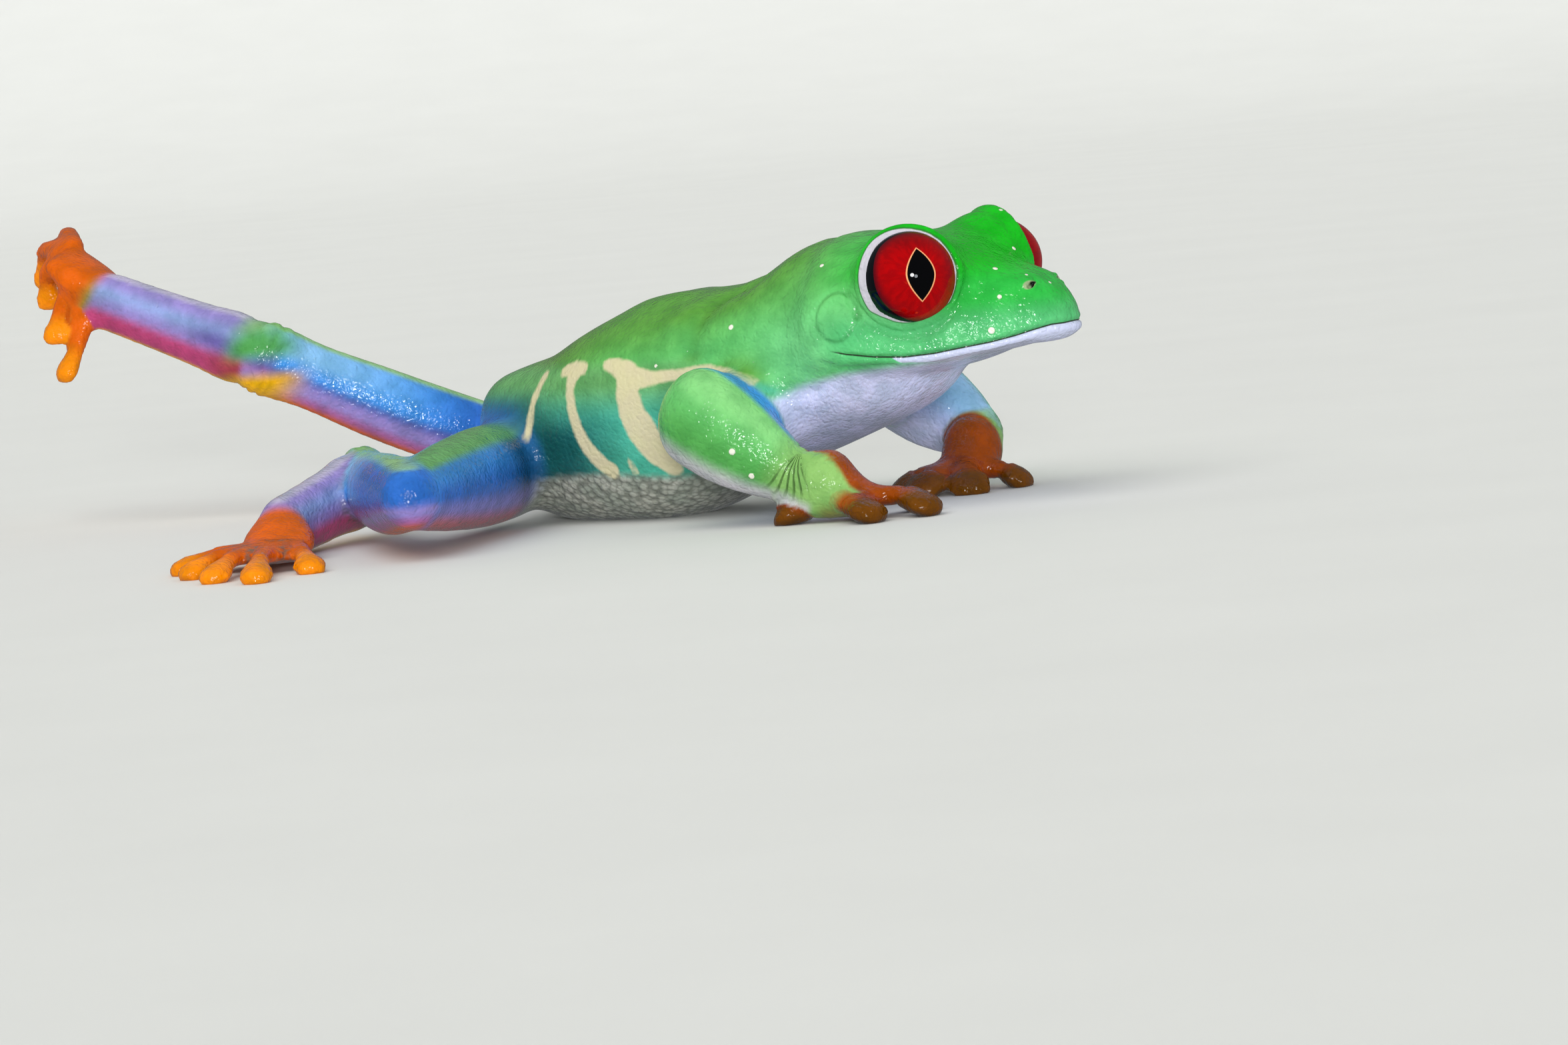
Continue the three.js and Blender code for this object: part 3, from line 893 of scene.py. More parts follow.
folded = clay.mirrored()
above_mouth, there = mouth_height(folded)
to_nostril = np.linalg.norm(folded - NOSTRIL_CENTRE, axis=1)
near_lid = np.zeros(len(clay.points), dtype=bool)
for side in SIDES.values():
    turned, far, back_share, top_share = lid_polar(clay.points, side)
    near_lid |= (turned > 62) & (turned < 116) & (far < 5.1) & (far > 3.2)
clay.refine(((np.abs(above_mouth) < 0.8) & (there > 0)) | (to_nostril < 1.1) | near_lid)
for around in (0.6, 0.32):
    to_wart = np.min([np.linalg.norm(clay.points - wart[:3], axis=1) for wart in WARTS], axis=0)
    clay.refine(to_wart < around)
folded = clay.mirrored()
above_mouth, there = mouth_height(folded)
clay.relax(fade(-np.linalg.norm(folded - NOSTRIL_CENTRE, axis=1), -1.4, -0.8), 2)
clay.relax(fade(-np.abs(above_mouth), -1.0, -0.6) * (there > 0), 2)

# %% Mouth, ears and nostrils
LIP_DEPTH = 0.22
LIP_HALF = 0.13
LIP_ROLL = 0.1
EAR_RIDGE = 0.09
EAR_GROOVE = 0.12
NOSTRIL_RIM = 0.09
NOSTRIL_DEPTH = 0.3


def bell(value, middle, half):
    """1 at the middle of a line or ring and almost 0 at twice its half-width."""
    return np.exp(-(((value - middle) / half) ** 2))


lips = fade(folded[:, 0], 20, 27)
clay.push(-LIP_DEPTH * bell(above_mouth, 0, LIP_HALF) * there)
clay.push(LIP_ROLL * (bell(above_mouth, -0.42, 0.26) + 0.5 * bell(above_mouth, 0.34, 0.2)) * lips)

# The lower lip stands a little higher towards the front, and the chin's tip stands forward.
under_lip = fade(-above_mouth, 0.35, 1.0) * fade(folded[:, 0], 24, 28) * fade(folded[:, 2], 9.0, 10.0)
clay.points[:, 2] += 0.42 * under_lip * fade(-folded[:, 0], -33.0, -30.0)
chin_tip = near(clay.points, (33.3, 0.0, 11.9), 2.2)
clay.points += np.array([0.2, 0.0, -0.06]) * chin_tip[:, None] * (above_mouth < 0.1)[:, None]

to_ear = np.linalg.norm((clay.mirrored() - EAR_CENTRE) * (1, 0.4, 0.9), axis=1)
clay.push(EAR_RIDGE * bell(to_ear, EAR_RADIUS, 0.2) - EAR_GROOVE * bell(to_ear, EAR_RADIUS * 1.28, 0.18))

nose = clay.mirrored() - NOSTRIL_CENTRE
clay.push(NOSTRIL_RIM * bell(np.linalg.norm(nose, axis=1), 0.42, 0.16))
slit = np.hypot(nose[:, 0] / 0.17 - 0.5, nose[:, 2] / 0.24)
clay.push(-NOSTRIL_DEPTH * np.exp(-(slit**2)) * (np.linalg.norm(nose, axis=1) < 0.9))
mouth_length = np.linalg.norm(np.diff(np.array(MOUTH_LINE), axis=0), axis=1).sum()
print("mouth line:", round(float(mouth_length), 1), "mm on each side")

# %% [markdown]
# Over the plain masses lie the forms that bone and muscle give: the ridge of the snout, the edge of the
# shoulder blade, the hips and the nape. The loose skin adds folds below the eye, at the heel and at the
# wrist.

# %% Forms and folds of head and trunk
# In order: the ridge from eye to nostril, the hollow under it, the hollow along the snout, the groove behind
# the shoulder, the rise of the back, the ridge behind the groove, the folds under the mouth's corner and of
# the throat, the fold over the ear, and the crease behind the mouth.
# Each stroke: line on the left side, half-width, amount (outwards above zero).
STROKES = [
    ([(27.8, 4.9, 17.0), (29.6, 3.6, 16.6), (31.3, 2.5, 16.0)], 0.8, 0.16),
    ([(28.6, 5.0, 14.9), (30.4, 3.8, 14.3)], 1.1, -0.2),
    ([(29.0, 0.0, 17.0), (32.0, 0.0, 16.2)], 1.0, -0.12),
    ([(10.9, 3.7, 17.8), (8.6, 3.6, 17.2), (7.5, 4.8, 16.4), (6.8, 6.8, 14.7), (6.6, 8.3, 12.4)], 0.8, -0.35),
    ([(-0.5, 1.5, 16.2), (1.5, 2.5, 16.2)], 2.0, 0.3),
    ([(5.4, 4.8, 16.2), (4.8, 6.8, 14.6)], 1.1, 0.15),
    ([(23.0, 7.9, 10.65), (21.1, 8.5, 10.6), (19.1, 8.7, 10.65), (17.8, 9.1, 11.2)], 0.28, -0.16),
    ([(18.6, 8.2, 9.6), (15.8, 8.0, 9.2), (13.4, 8.3, 9.3)], 0.4, -0.22),
    ([(19.6, 8.9, 16.9), (17.6, 9.3, 16.2), (16.9, 9.5, 14.6), (17.3, 9.5, 13.0)], 0.45, 0.08),
    ([(17.4, 9.4, 12.4), (16.2, 9.3, 11.2)], 0.4, -0.1),
]
for line, width, amount in STROKES:
    clay.push(amount * np.exp(-((from_line(clay.mirrored(), line) / width) ** 2)))

for side in SIDES.values():
    turned, far, back_share, top_share = lid_polar(clay.points, side)
    ring = far * np.sin(np.radians(turned))
    fold_ring = 4.35 + 0.25 * back_share
    span = fade(-top_share, -0.2, 0.5) * (far < 6.2) * (turned > 60) * (turned < 118)
    span *= fade(back_share, -0.9, -0.5)
    clay.push((-0.22 * bell(ring, fold_ring, 0.22) + 0.1 * bell(ring, fold_ring + 0.42, 0.22)) * span)
    clay.push(-0.05 * bell(ring, fold_ring + 0.72, 0.15) * span * fade(back_share, -0.2, 0.4))

# The nape stands up behind the eyes and dips towards the back.
NAPE = [(3.0, 0.0), (7.6, -0.6), (9.9, -0.7), (12.3, 0.0), (14.4, 0.65), (17.2, 0.35), (20.0, 0.0)]
x, y, z = clay.points.T
clay.points[:, 2] += np.interp(x, *np.array(NAPE).T) * fade(z, 13.0, 16.5) * fade(-np.abs(y), -7.5, -4.0)
print("strokes:", len(STROKES), "and nape places:", len(NAPE))

# %% [markdown]
# Skin creases across a joint that bends. The creases are wavy grooves at set places along the heel and
# the wrist, and each finger has a narrow neck before its pad.

# %% Folds of heels, wrists and fingers
# Creases: place along the limb, depth.
HEEL_CREASES = [(-1.5, 0.1), (-0.6, 0.17), (0.5, 0.13), (1.5, 0.08)]
WRIST_CREASES = [(-1.0, 0.12), (-0.4, 0.2), (0.2, 0.16), (0.8, 0.1)]


def along_way(spot, start, end):
    """Millimetres along the way from start to end, counted from a spot."""
    way = np.array(end) - np.array(start)
    return (clay.points - np.array(spot)) @ (way / np.linalg.norm(way))


for letter in SIDES:
    arm = ARMS[letter]
    leg = HIND_LEGS[letter]
    on_heel = near(clay.points, leg["heel"], 3.2)
    clay.push(0.25 * on_heel)
    wave = along_way(leg["heel"], leg["calf"], leg["ankle"])
    wave += 0.35 * np.sin(clay.points[:, 2] * 1.9) + 0.25 * np.sin(clay.points[:, 1] * 2.3)
    for crease, depth in HEEL_CREASES:
        clay.push(-depth * bell(wave, crease, 0.2) * fade(on_heel, 0.15, 0.5))

    wave = along_way(arm["wrist"], arm["elbow"], arm["palm"])
    wave += 0.2 * np.sin(clay.points[:, 2] * 2.5) + 0.15 * np.sin(clay.points[:, 1] * 3.1)
    for crease, depth in WRIST_CREASES:
        clay.push(-depth * bell(wave, crease, 0.13) * near(clay.points, arm["wrist"], 3.0))
    knob = np.array(arm["palm"]) + (-0.6, 0, 2.2)
    clay.points[:, 2] += 0.65 * near(clay.points, knob, 1.9)
    for _, middle, tip in arm["fingers"]:
        neck = bell(along_way(middle, middle, tip), 0.1, 0.22)
        clay.push(-0.16 * neck * near(clay.points, middle, 1.9))

# The right shoulder is drawn up above the elbow, and the left brow stands a little higher.
clay.points[:, 2] += 0.65 * near(clay.points, (9.6, -12.2, 10.6), 3.8)
clay.points[:, 2] += 0.4 * near(clay.points, (24.4, 6.0, 20.6), 3.2)
clay.points[:, 2] = np.maximum(clay.points[:, 2], 0)
clay.write()
print("creases on each side:", len(HEEL_CREASES) + len(WRIST_CREASES))

# %% [markdown]
# ## Paint
# A cast is painted with an airbrush: soft clouds of colour over the form, and only then the crisp marks.
# The clouds are worked out here for each point of the skin and kept as a colour attribute. The crisp
# marks are kept as distances in millimetres to their edges, so that the material can draw sharp edges
# between points.

# %% Paint pots
POTS = {
    "side green": "#62BE6C",
    "mint": "#6FC683",
    "back green": "#5A9A3E",
    "rump green": "#5C8238",
    "brow green": "#10B018",
    "snout green": "#2CB444",
    "cheek green": "#58BE78",
    "fold green": "#8FBE86",
    "lilac": "#D2D6FF",
    "lilac shade": "#9A9AC6",
    "belly": "#ACAEA6",
    "lip": "#CFD4F0",
    "flank green": "#66A464",
    "teal": "#4CB09A",
    "navy": "#003A48",
    "blue": "#3E8EE0",
    "deep blue": "#2C66C4",
    "sky": "#86BAE8",
    "violet": "#9080C4",
    "dusk": "#584C96",
    "magenta": "#B84478",
    "crimson": "#A23C4C",
    "gold": "#EEB000",
    "orange": "#D25C00",
    "bright orange": "#EE8800",
    "hand orange": "#984200",
    "burnt orange": "#883600",
    "pad": "#5E3A00",
    "pad edge": "#382200",
    "cream": "#D8CCA8",
    "leaf green": "#66BC6A",
    "light green": "#90D088",
    "dark green": "#4C9C46",
    "yellow green": "#88B868",
    "rim": "#C9C6D0",
    "pale cream": "#D9CFA6",
    "vein": "#7A6470",
    "belly gap shade": "#5E6359",
    "wart": "#ECEADC",
    "lid line": "#2C5A2C",
    "ear groove shade": "#2E7A3C",
    "wrist fold shade": "#3A5A2A",
    "mouth slit shade": "#2A3A28",
    "nostril rim": "#9DB184",
    "nostril": "#080C08",
}


def pot(name):
    """The paint in a pot."""
    return shade(POTS[name])


airbrush = np.tile(pot("side green")[:3], (len(clay.points), 1))


def spray(name, weight):
    """Lays a pot's colour over the skin with a weight from 0 to 1 at each point."""
    global airbrush
    weight = np.clip(weight, 0, 1)[:, None]
    airbrush = airbrush * (1 - weight) + np.array(pot(name)[:3]) * weight


# %% Head and trunk clouds
facing = clay.normals()
x, y, z = clay.mirrored().T
# The line where the pale underside begins, from the rump to the snout: distance along, height.
UNDER_EDGE = [(-17, 3.2), (-2, 4.0), (3, 3.5), (7, 3.6), (9, 5.2), (11, 6.9), (12.7, 8.3)]
UNDER_EDGE += [(15.4, 9.5), (19, 10.2), (23, 10.5), (26, 10.75), (28, 11.0), (31, 11.55), (34, 12.3)]
under = np.interp(x, *np.array(UNDER_EDGE).T) - z

spray("mint", fade(x, 9, 16) * fade(-z, -17, -12))
spray("back green", fade(facing[:, 2], 0.2, 0.85) * fade(-x, -21, -13))
spray("rump green", fade(-x, 0, 10) * fade(z, 7, 10) * 0.8)
spray("snout green", fade(x, 24, 28))
spray("brow green", fade(z, 15.6, 17.6) * fade(x, 15.5, 23.0))
spray("cheek green", fade(-z, -15.0, -13.0) * fade(x, 17, 20))
spray("flank green", fade(-x, -9, -5) * fade(-z, -12.4, -11.2))
spray("teal", fade(-x, -9, -5) * fade(-z, -10.7, -7.8))
spray("navy", fade(-x, -2.0, 5.0) * fade(-z, -9.8, -6.6) * 0.85)
spray("navy", fade(-x, 5.5, 9.5) * fade(-z, -11.0, -8.6) * 0.7)
spray("deep blue", fade(-x, 8, 12) * fade(-z, -10.0, -7.5) * 0.8)
spray("belly", fade(under, -0.2, 0.5) * fade(-x, -10, -7))
spray("lilac", fade(under, -0.5, 0.4) * fade(x, 7, 10))
# Painted shade: the underside of the throat and chest darkens further down.
spray("lilac shade", fade(under, 2.0, 5.5) * fade(x, 9, 12) * 0.6)
ARMPIT = [(12.0, 9.9, 10.0), (13.5, 9.4, 9.5), (15.0, 8.9, 9.2), (16.6, 8.8, 9.1)]
spray("teal", bell(from_line(clay.mirrored(), ARMPIT), 0, 0.45) * 0.85)
print("sprayed:", len(airbrush), "points")


# %% [markdown]
# The colours of a limb follow its own form, so each point gets the limb's coordinates: how far along it
# lies and which way around it faces. A limb's clouds stop where a neighbour lies closer.


# %% Limb coordinates
FAR_OFF = 9.0  # stands for a distance that is too large to matter


def around_limb(points, joints, rows):
    """Share along a limb, the way faced around it (side and top), and how far out a point is (1 = skin)."""
    path = smooth_path(joints)
    centres = path[0]
    share = np.zeros(len(points))
    side_way = np.zeros(len(points))
    top_way = np.zeros(len(points))
    out = np.full(len(points), FAR_OFF)
    margin = 1.6 * max(max(row[1:]) for row in rows)
    close = np.all((points > centres.min(axis=0) - margin) & (points < centres.max(axis=0) + margin), axis=1)
    spots = points[close]
    nearest = ((spots[:, None, :] - centres[None]) ** 2).sum(axis=2).argmin(axis=1)
    step = path[2] / (len(centres) - 1)
    beyond = ((spots - centres[nearest]) * path[1][nearest]).sum(axis=1)
    inside = np.clip((nearest * step + beyond) / path[2], 0, 1)
    centre, ahead, side, top = frames_along(path, inside)
    offset = spots - centre
    parts = np.stack([(offset * side).sum(axis=1), (offset * top).sum(axis=1), (offset * ahead).sum(axis=1)])
    wide = rows_at(rows, inside, 1)
    tall = rows_at(rows, inside, 2)
    far = np.sqrt((parts[0] / wide) ** 2 + (parts[1] / tall) ** 2 + (parts[2] / np.minimum(wide, tall)) ** 2)
    share[close] = inside
    side_way[close] = parts[0] / wide / far
    top_way[close] = parts[1] / tall / far
    out[close] = far
    return share, side_way, top_way, out


views = {name: around_limb(clay.points, joints, rows) for name, (joints, rows) in limbs.items()}
outs = np.stack([view[3] for view in views.values()])
print("limb coordinates:", len(views))


# %% Who owns a point
def on_limb(name, letter, *digit):
    """Share along a limb, the ways faced around it (inwards and up), and how much it owns each point."""
    key = "_".join([name, letter, *map(str, digit)])
    share, side_way, top, out = views[key]
    others = np.delete(outs, list(views).index(key), axis=0).min(axis=0)
    return share, -SIDES[letter] * side_way, top, fade(-out, -1.45, -1.15) * fade(others - out, -0.25, 0.05)


def on_web(digits, radius, low, high):
    """How much a point lies on the webs between digits, off the digits themselves."""
    middle = np.mean([digit[1] for digit in digits], axis=0)
    return near(clay.points, middle, radius) * fade(outs.min(axis=0), low, high)


print("points on the right forearm:", int(on_limb("forearm", "r")[3].sum()))

# %% [markdown]
# The upper arm is leaf green outside and lilac inside. The forearm has a blue strip on its inner side,
# and the hand turns from green to orange, down to the dark edges of the sticky pads.

# %% Arm clouds
for letter in SIDES:
    share, inner, top, mine = on_limb("upper_arm", letter)
    spray("leaf green", mine * fade(-inner, -0.3, 0.3) * fade(share, 0.1, 0.5))
    spray("lilac", mine * fade(inner, -0.1, 0.4) * fade(-top, -0.1, 0.5))
    share, inner, top, mine = on_limb("forearm", letter)
    spray("leaf green", mine)
    # Painted light and shade: the forearm is lighter on top and darker on its outer lower side.
    spray("light green", mine * fade(top, 0.3, 0.9) * 0.6)
    spray("dark green", mine * fade(-inner - top, 0.3, 1.2) * 0.7)
    spray("yellow green", mine * fade(share, 0.72, 0.95) * 0.7)
    spray("rim", mine * fade(-top, 0.3, 0.8))
    spray("rim", mine * fade(-facing[:, 0], 0.8, 0.97) * fade(-share, -0.4, -0.2) * 0.7)
    spray("blue", mine * fade(inner, -0.16, 0.1) * fade(top, -0.5, 0.1) * fade(-share, -0.95, -0.7))
    strip = mine * fade(inner, 0.1, 0.5) * fade(top, -0.2, 0.3)
    spray("deep blue", strip * fade(-share, -0.5, -0.1) * 0.6)
    spray("lilac", mine * fade(inner, 0.1, 0.35) * fade(-top, -0.2, 0.3))
    if letter == "l":
        spray("lilac", mine * fade(inner, -0.9, -0.4) * 0.75)
        spray("sky", mine * fade(top, 0.1, 0.7) * 0.8)
        spray("mint", mine * fade(-inner, 0.1, 0.6) * 0.8)
    share, inner, top, mine = on_limb("hand", letter)
    spray("yellow green", mine)
    spray("rim", mine * fade(-top, 0.4, 0.85) * fade(-share, -0.55, -0.4))
    inner_first = 0.8 * inner if letter == "r" else 0.05
    spray("hand orange", mine * fade(0.9 * share + inner_first + 0.3 * top, 0.3, 0.5))
    spray("burnt orange", mine * fade(-top, 0.2, 0.8) * fade(share, 0.5, 0.8) * 0.5)
    for i in range(1, 5):
        share, inner, top, mine = on_limb("finger", letter, i)
        spray("hand orange", mine)
        spray("burnt orange", mine * fade(-top, -0.2, 0.6) * 0.7)
        spray("pad", mine * fade(share - 0.12 * top, 0.42, 0.66) * 0.85)
        spray("pad edge", mine * fade(share, 0.5, 0.7) * fade(-top, 0.2, 0.8) * 0.7)
        if (letter, i) == ("r", 3):
            spray("yellow green", mine * fade(-share, -0.42, -0.2))
    web = fade(on_web(ARMS[letter]["fingers"], 5.5, 1.1, 1.3), 0.02, 0.15)
    spray("burnt orange", web * fade(-clay.points[:, 2], -3.6, -2.6))
print("mean paint with the arms:", airbrush.mean(axis=0).round(3))

# %% [markdown]
# The hind legs hide bright colours: blue and violet flanks, a magenta edge, green folds at the knee and
# heel, and orange feet. A resting frog covers them with its green upper sides.

# %% Leg clouds
for letter in SIDES:
    share, _, top, mine = on_limb("thigh", letter)
    mine = mine * fade(np.abs(clay.points[:, 1]), 6.0, 9.5)
    spray("deep blue", mine)
    spray("blue", mine * fade(top, 0.0, 0.5) * 0.6)
    spray("navy", mine * fade(-share, -0.45, -0.15) * 0.9)
    spray("flank green", mine * fade(top, 0.62, 0.8))
    spray("violet", mine * fade(-top, 0.1, 0.5) * 0.7)
    spray("orange", mine * fade(-top, 0.5, 0.9) * 0.7)
    share, _, top, mine = on_limb("shank", letter)
    spray("blue", mine)
    # The lighter sky blue on the upper side towards the heel is partly the leg's colour and partly a painted
    # highlight.
    spray("sky", mine * fade(share, 0.35, 0.95) * fade(top, 0.0, 0.5))
    spray("deep blue", mine * fade(-share, -0.6, -0.25))
    spray("violet", mine * fade(-top, 0.15, 0.4))
    # Painted shade: a dark line along the furrow between the shank's muscles.
    spray("dusk", mine * bell(top, -0.22, 0.12) * fade(share, 0.1, 0.4) * 0.7)
    spray("magenta", mine * fade(-top, 0.55, 0.8) * 0.6)
    # The orange lower edge is partly the leg's colour and partly painted warm rim light.
    spray("orange", mine * fade(-top, 0.8, 0.97))
    spray("fold green", mine * fade(top, 0.84, 0.96))
    share, _, top, mine = on_limb("tarsus", letter)
    spray("violet", mine)
    spray("sky", mine * bell(top, 0.42, 0.25) * 0.45)
    spray("dusk", mine * fade(-share, -0.5, -0.25) * bell(top, 0.15, 0.3) * 0.8)
    spray("magenta", mine * fade(-top, 0.0, 0.4))
    spray("crimson", mine * fade(-share, -0.35, -0.12) * fade(-top, -0.1, 0.35))
    # The gold lower edge is partly the leg's colour and partly painted warm rim light.
    spray("gold", mine * fade(-top, 0.8, 0.97))
    # Painted rim light: a pale line along the top edge of the tarsus.
    spray("rim", mine * fade(top, 0.86, 0.98) * 0.6)
    heel = near(clay.points, HIND_LEGS[letter]["heel"], 3.1)
    above_heel = clay.points[:, 2] - HIND_LEGS[letter]["heel"][2]
    spray("dark green", fade(heel, 0.2, 0.6) * fade(above_heel, -0.7, 0.9) * 0.95)
    spray("yellow green", fade(heel, 0.2, 0.5) * fade(above_heel, 1.8, 2.8) * 0.5)
    # The gold under the heel is partly the skin's colour and partly a painted glow of warm light through it.
    spray("gold", fade(heel, 0.05, 0.5) * fade(-above_heel, 0.7, 1.9))
    share, _, top, mine = on_limb("foot", letter)
    spray("orange", mine * fade(share, 0.0, 0.35))
    for i in range(1, 6):
        share, _, top, mine = on_limb("toe", letter, i)
        spray("orange", mine)
        spray("bright orange", mine * fade(share, 0.55, 0.85))
    web = fade(on_web(HIND_LEGS[letter]["toes"], 5.0, 1.15, 1.4), 0.02, 0.2)
    spray("orange", web)
    spray("burnt orange", web * 0.4)
print("mean paint with the legs:", airbrush.mean(axis=0).round(3))

# %% [markdown]
# The crisp marks come last. They are the cream bars of the flank, warts, lips, the granules of the belly,
# the veins of the throat, the rim of the lids and the folds of the wrist. Each is stored as a distance to
# its edge or as a share. The hollows of the form are marked too, so that the material can darken them
# with painted shade.

# %% Flank bars
# Flank bars: places on the left flank and half-widths.
FLANK_BARS = [
    [(-7.5, 5.9, 11.2, 0.35), (-7.8, 6.1, 10.5, 0.32), (-8.3, 6.6, 9.2, 0.33), (-8.5, 7.0, 7.4, 0.3)]
    + [(-8.7, 6.8, 5.8, 0.22)],
    [(-5.1, 6.8, 11.5, 0.42), (-4.1, 7.1, 11.6, 0.6), (-3.1, 7.4, 11.65, 0.42)],
    [(-4.1, 7.2, 11.3, 0.6), (-4.25, 7.7, 10.2, 0.42), (-4.1, 8.1, 9.3, 0.4), (-3.9, 8.2, 8.4, 0.44)]
    + [(-3.5, 8.4, 7.3, 0.5), (-3.0, 8.4, 6.2, 0.55), (-2.2, 8.3, 5.1, 0.6), (-1.1, 8.1, 4.1, 0.65)],
    [(-0.8, 7.9, 11.9, 0.4), (0.3, 8.2, 11.6, 0.68), (1.3, 8.5, 11.1, 0.95), (1.3, 8.9, 9.5, 1.0)]
    + [(1.6, 9.0, 8.4, 1.1), (2.1, 9.0, 7.3, 1.22), (2.7, 8.8, 6.3, 1.2), (3.3, 8.5, 5.2, 1.05)]
    + [(4.0, 7.9, 4.2, 0.75)],
    [(0.7, 8.4, 4.8, 0.15), (0.9, 8.1, 3.9, 0.3)],
    [(1.7, 8.6, 10.9, 0.85), (3.6, 8.8, 10.75, 0.5), (5.4, 8.7, 10.95, 0.36), (6.8, 8.5, 11.1, 0.34)]
    + [(8.2, 8.6, 11.15, 0.34), (9.9, 9.0, 10.95, 0.34), (11.3, 9.5, 10.6, 0.3), (12.6, 9.6, 10.1, 0.2)],
]


def on_skin(place):
    """The point of the skin that is nearest to a place."""
    return clay.points[np.linalg.norm(clay.points - place, axis=1).argmin()]


def inside_band(points, band):
    """Millimetres inside a band whose spots each have a half-width (below zero outside it)."""
    best = np.full(len(points), -FAR_OFF)
    for (*a, wide_a), (*b, wide_b) in zip(band, band[1:]):
        a, b = np.array(a), np.array(b)
        flat = (b - a) * (1, 0.12, 1)
        t = np.clip(((points - a) @ flat) / ((b - a) @ flat), 0, 1)
        d = np.linalg.norm((points - a - t[:, None] * (b - a)) * (1, 0.35, 1), axis=1)
        best = np.maximum(best, wide_a + t * (wide_b - wide_a) - d)
    return best


print("flank bars:", len(FLANK_BARS))

# %% Marks of the skin
folded = clay.mirrored()
on_body = fade(outs.min(axis=0), 1.0, 1.15)
free_of = [view[3] for name, view in views.items() if not name.startswith(("upper_arm", "thigh"))]
off_limbs = fade(np.min(free_of, axis=0), 1.0, 1.15)
marks = {}
marks["cream"] = np.max([inside_band(folded, band) for band in FLANK_BARS], axis=0) - 3 * (1 - off_limbs)
warts = [wart[3] - np.linalg.norm(clay.points - on_skin(wart[:3]), axis=1) for wart in WARTS]
marks["wart"] = np.max(warts, axis=0)
above_mouth, there = mouth_height(folded)
marks["mouth"] = above_mouth
marks["mouth_there"] = fade(folded[:, 0], 18.5, 19.5)
lip_height = 0.34 + 0.46 * fade(folded[:, 0], 22.5, 28) + 0.35 * fade(folded[:, 0], 30.5, 33)
marks["lip"] = lip_height + above_mouth - 1.2 * fade(-folded[:, 0], -23.8, -21.8) - 3 * (folded[:, 0] < 20)
marks["pebble"] = fade(under, -0.3, 0.3) * fade(-folded[:, 0], -9, -6) * on_body
marks["veins"] = fade(under, 0.0, 0.8) * fade(folded[:, 0], 8, 11) * on_body
marks["ear"] = 0.1 - np.abs(np.linalg.norm((folded - EAR_CENTRE) * (1, 0.4, 0.9), axis=1) - EAR_RADIUS * 1.2)
print("marks:", ", ".join(marks))

# %% [markdown]
# The rim of the lids is a pale line that is painted on the skin where it leaves the eyeball. It is wider
# behind the eye. The hollows are found by asking how far the mean of a point's neighbours stands above
# it.

# %% Rim of the lids and hollows
LID_RIM_EDGE = 75.5  # degrees from the lids' axis to the outer edge of the rim
LID_RIM_INNER = 55  # degrees to its inner edge, which the eyeball hides
LID_RIM_RADIUS = 3.9  # distance from the eye's centre at which its width is measured

marks["lid_rim"] = np.full(len(clay.points), -FAR_OFF)
for side in SIDES.values():
    turned, far, back_share, top_share = lid_polar(clay.points, side)
    rear = fade(back_share, -0.3, 0.9)
    outer = LID_RIM_EDGE - 1.6 * rear - 7.0 * fade(back_share, 0.6, 1.0) - 9.0 * fade(-top_share, 0.55, 0.9)
    outer += 0.5 * np.maximum(top_share, 0) * (1 - rear)
    inside = np.radians(np.minimum(outer - turned, turned - LID_RIM_INNER)) * LID_RIM_RADIUS
    marks["lid_rim"] = np.where(far < 4.6, np.maximum(marks["lid_rim"], inside), marks["lid_rim"])
rise = clay.mean(clay.points) - clay.points
hollow = (rise * clay.normals()).sum(axis=1)
for _ in range(3):
    hollow = clay.mean(hollow[:, None])[:, 0]
marks["hollow"] = hollow * 1000  # in micrometres
print("hollows reach", round(float(marks["hollow"].max()), 1), "micrometres")

# %% [markdown]
# On the outer wrist the folds fan out from its upper side, like those of a sleeve. They are too fine for
# the faces, so each point stores where in the fan it lies and the material draws the lines as painted
# shade in the folds.

# %% Wrist folds
FOLD_SPACING = 12  # degrees from one fold to the next
FAN_CENTRE = {letter: on_skin(np.array(ARMS[letter]["wrist"]) + (1.0, 0.0, 1.8)) for letter in SIDES}

marks["wrist_fan"] = np.zeros(len(clay.points))
marks["wrist_there"] = np.zeros(len(clay.points))
for letter in SIDES:
    way = np.array(ARMS[letter]["palm"]) - np.array(ARMS[letter]["elbow"])
    way[2] = 0
    offset = clay.points - FAN_CENTRE[letter]
    fan = np.degrees(np.arctan2(offset @ way / np.linalg.norm(way), -offset[:, 2])) / FOLD_SPACING
    reach = np.linalg.norm(offset * (1, 0.6, 1), axis=1)
    there = fade(reach, 0.2, 0.7) * fade(-reach, -3.9, -2.6) * fade(fan, -4.4, -3.6) * fade(-fan, -1.6, -0.6)
    close = there * (offset[:, 2] < 0)
    marks["wrist_fan"] = np.where(close > 0, fan + 0.25 * np.sin(1.7 * reach), marks["wrist_fan"])
    marks["wrist_there"] = np.maximum(marks["wrist_there"], close)
print("ranges:", {name: (round(float(v.min()), 2), round(float(v.max()), 2)) for name, v in marks.items()})

# %% [markdown]
# The clouds and the marks are stored on the skin itself, so that the material can read them by name.

# %% Store the paint
for name, values in marks.items():
    clay.mesh.attributes.new(name, "FLOAT", "POINT").data.foreach_set("value", values.astype(np.float32))
layer = clay.mesh.attributes.new("airbrush", "FLOAT_COLOR", "POINT")
colours = np.hstack([airbrush, np.ones((len(airbrush), 1))])
layer.data.foreach_set("color", colours.astype(np.float32).ravel())
print("attributes:", len(clay.mesh.attributes))

